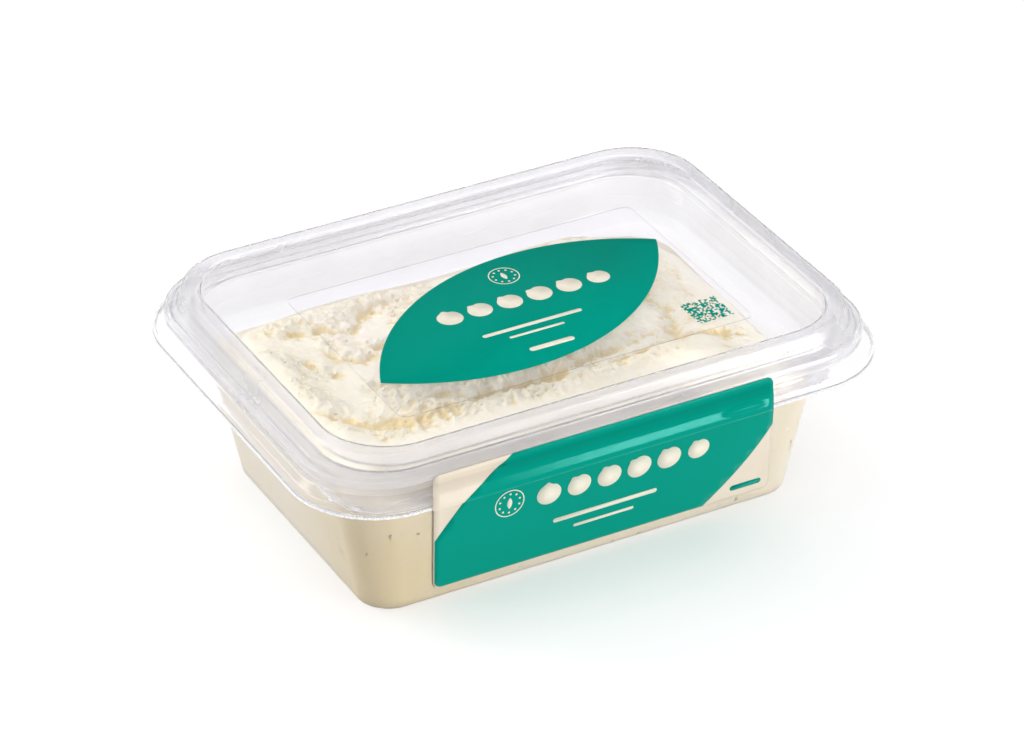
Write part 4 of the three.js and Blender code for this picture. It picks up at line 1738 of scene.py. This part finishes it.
    def tab(self, x: np.ndarray, length: np.ndarray) -> np.ndarray:
        """The lens-shaped thumb mark that lifts the label over the skirt: 1 in its middle and 0 outside."""
        middle = self._length_at(self.lid.upper[Bend.LIP_TOP].z - self.tab_drop)
        off = np.abs(x - self.tab_x) / self.tab_half
        edge = self.tab_height * np.clip(1 - off * off, 1e-3, 1)
        return np.clip(1 - ((length - middle) / edge) ** 2, 0, 1) * edge / self.tab_height

    def outline(self) -> np.ndarray:
        """The label's flat outline, with the corners rounded.

        Returns:
            Points of share and length, anticlockwise as seen from the front.
        """
        width = self.wall_span_low[1] - self.wall_span_low[0]
        low, high = self.corner, self.corner_top
        turns = [(math.sin(t), math.cos(t)) for t in np.linspace(0, math.pi / 2, 9)]
        points = [(low * (1 - c) / width, self.total - low * (1 - s)) for s, c in turns]
        points += [(1 - low * (1 - s) / width, self.total - low * (1 - c)) for s, c in turns]
        points += [(1 - high * (1 - c) / width, high * (1 - s)) for s, c in turns]
        points += [(high * (1 - s) / width, high * (1 - c)) for s, c in turns]
        return np.array(points)

    def wall_place(self, x: float, z: float) -> Spot:
        """Share and length of a place on the front wall."""
        length = self._length_at(z)
        left, right = self.span(np.array([length]))
        return float((x - left[0]) / (right[0] - left[0])), length

    def on_wall_shape(self, shape: Shape2D) -> Shape2D:
        """Turns a shape in X and Z on the front wall into share and length."""
        points, faces = shape
        return np.array([self.wall_place(x, z) for x, z in points]), faces

    def field_outline(self) -> np.ndarray:
        """The green field: the label cut by two arcs of a large leaf, which leave two pale corners.

        Returns:
            Points of share and length.
        """
        left_corner = self.wall_place(self.wall_span_low[0] - 1.0, self.field_left_level)
        right_corner = self.wall_place(self.wall_span_high[1], self.field_right_level)
        low_right = self.wall_place(self.field_bottom_right, self.bottom)
        edge = self.outline()
        rim = self.paper_edge
        side = rim / (self.wall_span_low[1] - self.wall_span_low[0])
        low_edge = [(p[0] + side, p[1] - rim) for p in edge if p[1] > left_corner[1] and p[0] < 0.5]
        lower_right = self._arc((low_right[0], self.total - rim), (1.0, right_corner[1]), -0.018)
        high_edge = [tuple(p) for p in edge if p[1] < 5 and p[0] > 0.5]
        upper_left = self._arc((self.field_top_share, 0.0), (self.field_lip_share, self.lip_length), 0.001)
        upper_left += self._arc((self.field_lip_share, self.wall_length), (side, left_corner[1]), 0.001)
        return np.array([*low_edge, *lower_right, *high_edge, *upper_left])

    @staticmethod
    def _arc(start: Spot, end: Spot, bulge: float) -> list[Spot]:
        """A shallow curve between two flat points, bulging in share."""
        points = []
        for k in range(13):
            t = k / 12
            off = 4 * t * (1 - t) * bulge
            points.append((start[0] + (end[0] - start[0]) * t - off, start[1] + (end[1] - start[1]) * t))
        return points

    def build(self, paper: Material, green: Material, cream: Material) -> None:
        """Makes and dresses the sticker and its print.

        Args:
            paper: the sticker's material.
            green: the green ink.
            cream: the cream ink.
        """
        # Finer columns and rows cross the thumb mark, and the long flats have a few rows each.
        columns = [*np.linspace(0.02, 0.98, 25), *np.linspace(0.84, 0.985, 30)]
        rows = [*self.lengths[1:-1], *np.linspace(2.0, 10.5, 26)]
        for low, high, count in ((self.lip_length, self.wall_length, 4), (self.wall_length, self.total, 8)):
            rows += list(np.linspace(low + 1.0, high - 1.0, count))
        sheet = cut_to_grid(filled(self.outline()), columns, rows)
        whole = self.thickness + self.glue
        sticker = sheet_from("front_sticker", sheet, lambda p: self.place(p, self.thickness), whole)
        dress(sticker, paper, Slot.STICKER, "label_front")
        green_sheet = cut_to_grid(filled(self.field_outline()), columns, rows)
        lifted = self.thickness + self.ink_lift
        green_print = sheet_from("front_field_print", green_sheet, lambda p: self.place(p, lifted))
        dress(green_print, green, Slot.STICKER)
        marks = joined([
            seal(-30.0, 29.5, 5.0),
            pea_row(-16.5, 35.5, 28.6, 4.1, 6, cream),
            bar(-14.3, 21.8, 17.2, 1.6),
            bar(-7.0, 14.0, 13.0, 1.1),
        ])
        marks = self.on_wall_shape(marks)
        lifted_more = self.thickness + 2 * self.ink_lift
        dress(sheet_from("front_marks_print", marks, lambda p: self.place(p, lifted_more)), cream, Slot.STICKER)
        low_bar = self.on_wall_shape(bar(48.6, 59.8, 8.2, 2.0))
        dress(sheet_from("front_bar_print", low_bar, lambda p: self.place(p, lifted)), green, Slot.STICKER)


@dataclass
class Studio:
    """Floor, soft light and the camera at the photo's angle.

    The eye is in millimetres. A lamp is its name, place, width and height in metres, and power in watts.
    """

    eye: Place = (-559.0, -1025.2, 765.1)
    azimuth: float = -28.60
    elevation: float = 32.01
    lens: float = 156.75
    sensor: float = 36.0
    floor_side: float = 6000.0
    floor_level: float = -0.05
    sky_tone: Tone = colour(1.0, 1.0, 1.0)
    dim_tone: Tone = colour(0.82, 0.81, 0.85)
    sky_strength: float = 0.71
    aim: Place = (0, 0, 0.03)
    lamps: tuple[tuple[str, Place, Spot, float], ...] = (
        ("key_lamp", (-0.75, 0.8, 0.95), (0.6, 0.6), 4.0),
        ("left_lamp", (-1.35, 0.2, 0.5), (0.8, 0.6), 5.0),
        ("overhead_lamp", (0.15, -0.1, 1.5), (1.4, 1.4), 4.5),
        ("front_lamp", (0.61, -1.08, 0.095), (0.33, 0.09), 6.5),
    )
    light_paths: dict[str, Any] = field(default_factory=lambda: {
        "caustics_refractive": True,
        "caustics_reflective": False,
        "max_bounces": 20,
        "glossy_bounces": 12,
        "transmission_bounces": 16,
        "transparent_max_bounces": 32,
    })

    def floor(self) -> None:
        """The pale floor."""
        half, level = self.floor_side / 2, self.floor_level
        corners = [(x * half, y * half, level) for x, y in ((-1, -1), (1, -1), (1, 1), (-1, 1))]
        plane = mesh_object("studio_floor", np.array(corners), [[0, 1, 2, 3]])
        plane.data.materials.append(Backdrop("studio_floor_matt").build())

    def world(self) -> None:
        """A pale surround that is a little darker low on the camera's side."""
        world = bpy.data.worlds.new("studio_world")
        bpy.context.scene.world = world
        shader = Shader(world)
        direction = shader.node("ShaderNodeTexCoord").outputs["Generated"]
        parts = shader.node("ShaderNodeSeparateXYZ", None, {0: direction})
        side = Value(shader, parts.outputs[1]) * 0.86 + Value(shader, parts.outputs[0]) * 0.5
        height = Value(shader, parts.outputs[2])
        tone = shader.blend(side.ramp(-0.95, 0.25), self.dim_tone, self.sky_tone)
        tone = shader.blend(height.ramp(0.45, 0.9), tone, self.sky_tone)
        background = shader.node("ShaderNodeBackground", None, {"Color": tone, "Strength": self.sky_strength})
        shader.show(background.outputs[0])

    def lamp(self, name: str, place: Place, size: Spot, watts: float) -> None:
        """A soft oblong lamp that faces the pack.

        Args:
            name: the lamp's name.
            place: its place in metres.
            size: its width and height in metres.
            watts: its power.
        """
        data = bpy.data.lights.new(name, "AREA")
        data.shape, data.size, data.size_y, data.energy = "RECTANGLE", size[0], size[1], watts
        lamp = bpy.data.objects.new(name, data)
        bpy.context.scene.collection.objects.link(lamp)
        lamp.location = place
        lamp.rotation_mode = "QUATERNION"
        lamp.rotation_quaternion = (Vector(place) - Vector(self.aim)).to_track_quat("Z", "Y")

    def camera(self) -> None:
        """The camera, fitted to the photo's view."""
        data = bpy.data.cameras.new("photo_camera")
        data.lens, data.sensor_width, data.sensor_fit = self.lens, self.sensor, "HORIZONTAL"
        data.clip_start, data.clip_end = 0.05, 50.0
        camera = bpy.data.objects.new("photo_camera", data)
        bpy.context.scene.collection.objects.link(camera)
        az, el = math.radians(self.azimuth), math.radians(self.elevation)
        back = Vector((math.sin(az) * math.cos(el), -math.cos(az) * math.cos(el), math.sin(el)))
        camera.location = Vector(self.eye) * MM
        camera.rotation_mode = "QUATERNION"
        camera.rotation_quaternion = back.to_track_quat("Z", "Y")
        bpy.context.scene.camera = camera

    def build(self) -> None:
        """Sets the stage."""
        self.camera()
        self.floor()
        self.world()
        for name, place, size, watts in self.lamps:
            self.lamp(name, place, size, watts)
        scene = bpy.context.scene
        scene.view_settings.view_transform = "Standard"
        for name, setting in self.light_paths.items():
            setattr(scene.cycles, name, setting)


def main() -> None:
    """Builds the pack piece by piece, then the studio."""
    logging.basicConfig(level=logging.INFO, format="%(name)s %(message)s")
    ink, sheen, cream_ink = colour(0.0006, 0.275, 0.203), colour(0.25, 1.0, 0.97), colour(0.83, 0.77, 0.64)
    # The second tone is the painted shade line along the film's edge.
    tub_neck, rim_shade_grey = colour(0.82, 0.815, 0.825), colour(0.28, 0.26, 0.24)
    clear_tub = ClearPlastic("tub_clear_plastic", drawn_tint=tub_neck, drawn_haze=0.16).build()
    clear_lid = ClearPlastic("lid_clear_plastic").build()
    # The lip's hem: whitened plastic, its white partly a painted highlight along the edge.
    hem = CutEdge("lid_whitened_rim_highlight").build()
    film = ClearPlastic("label_clear_film", clarity=1.0, refraction=1.12, haze=0.008, waviness_mm=0.015).build()
    # The film's edge, painted dark grey as the shade line along it.
    film_shade_rim = CutEdge("film_rim_painted_shade", tone=rim_shade_grey, clarity=0.2).build()
    paste = HummusPaste("hummus_paste").build()
    paper = CoatedPaper("sticker_paper_cream", colour(0.72, 0.64, 0.52)).build()
    green = CoatedPaper("print_green", ink, 0.98, 0.5, 0.01, thin=True, sheen=sheen).build()
    glossy_green = CoatedPaper("print_green_glossy", ink, 0.98, 0.1, 0.055, 0.008, sheen=sheen).build()
    cream = CoatedPaper("print_cream", cream_ink, 0.96, 0.4, 0.1, thin=True).build()
    tub, lid = Tub(), Lid()
    tub.build(clear_tub)
    lid.build(clear_lid, hem)
    Hummus(tub).build(paste)
    LidLabel(lid).build(film, film_shade_rim, green, cream)
    FrontLabel(lid, tub).build(paper, glossy_green, cream)
    Studio().build()
    log.info("sizes written")


if __name__ == "__main__":
    main()
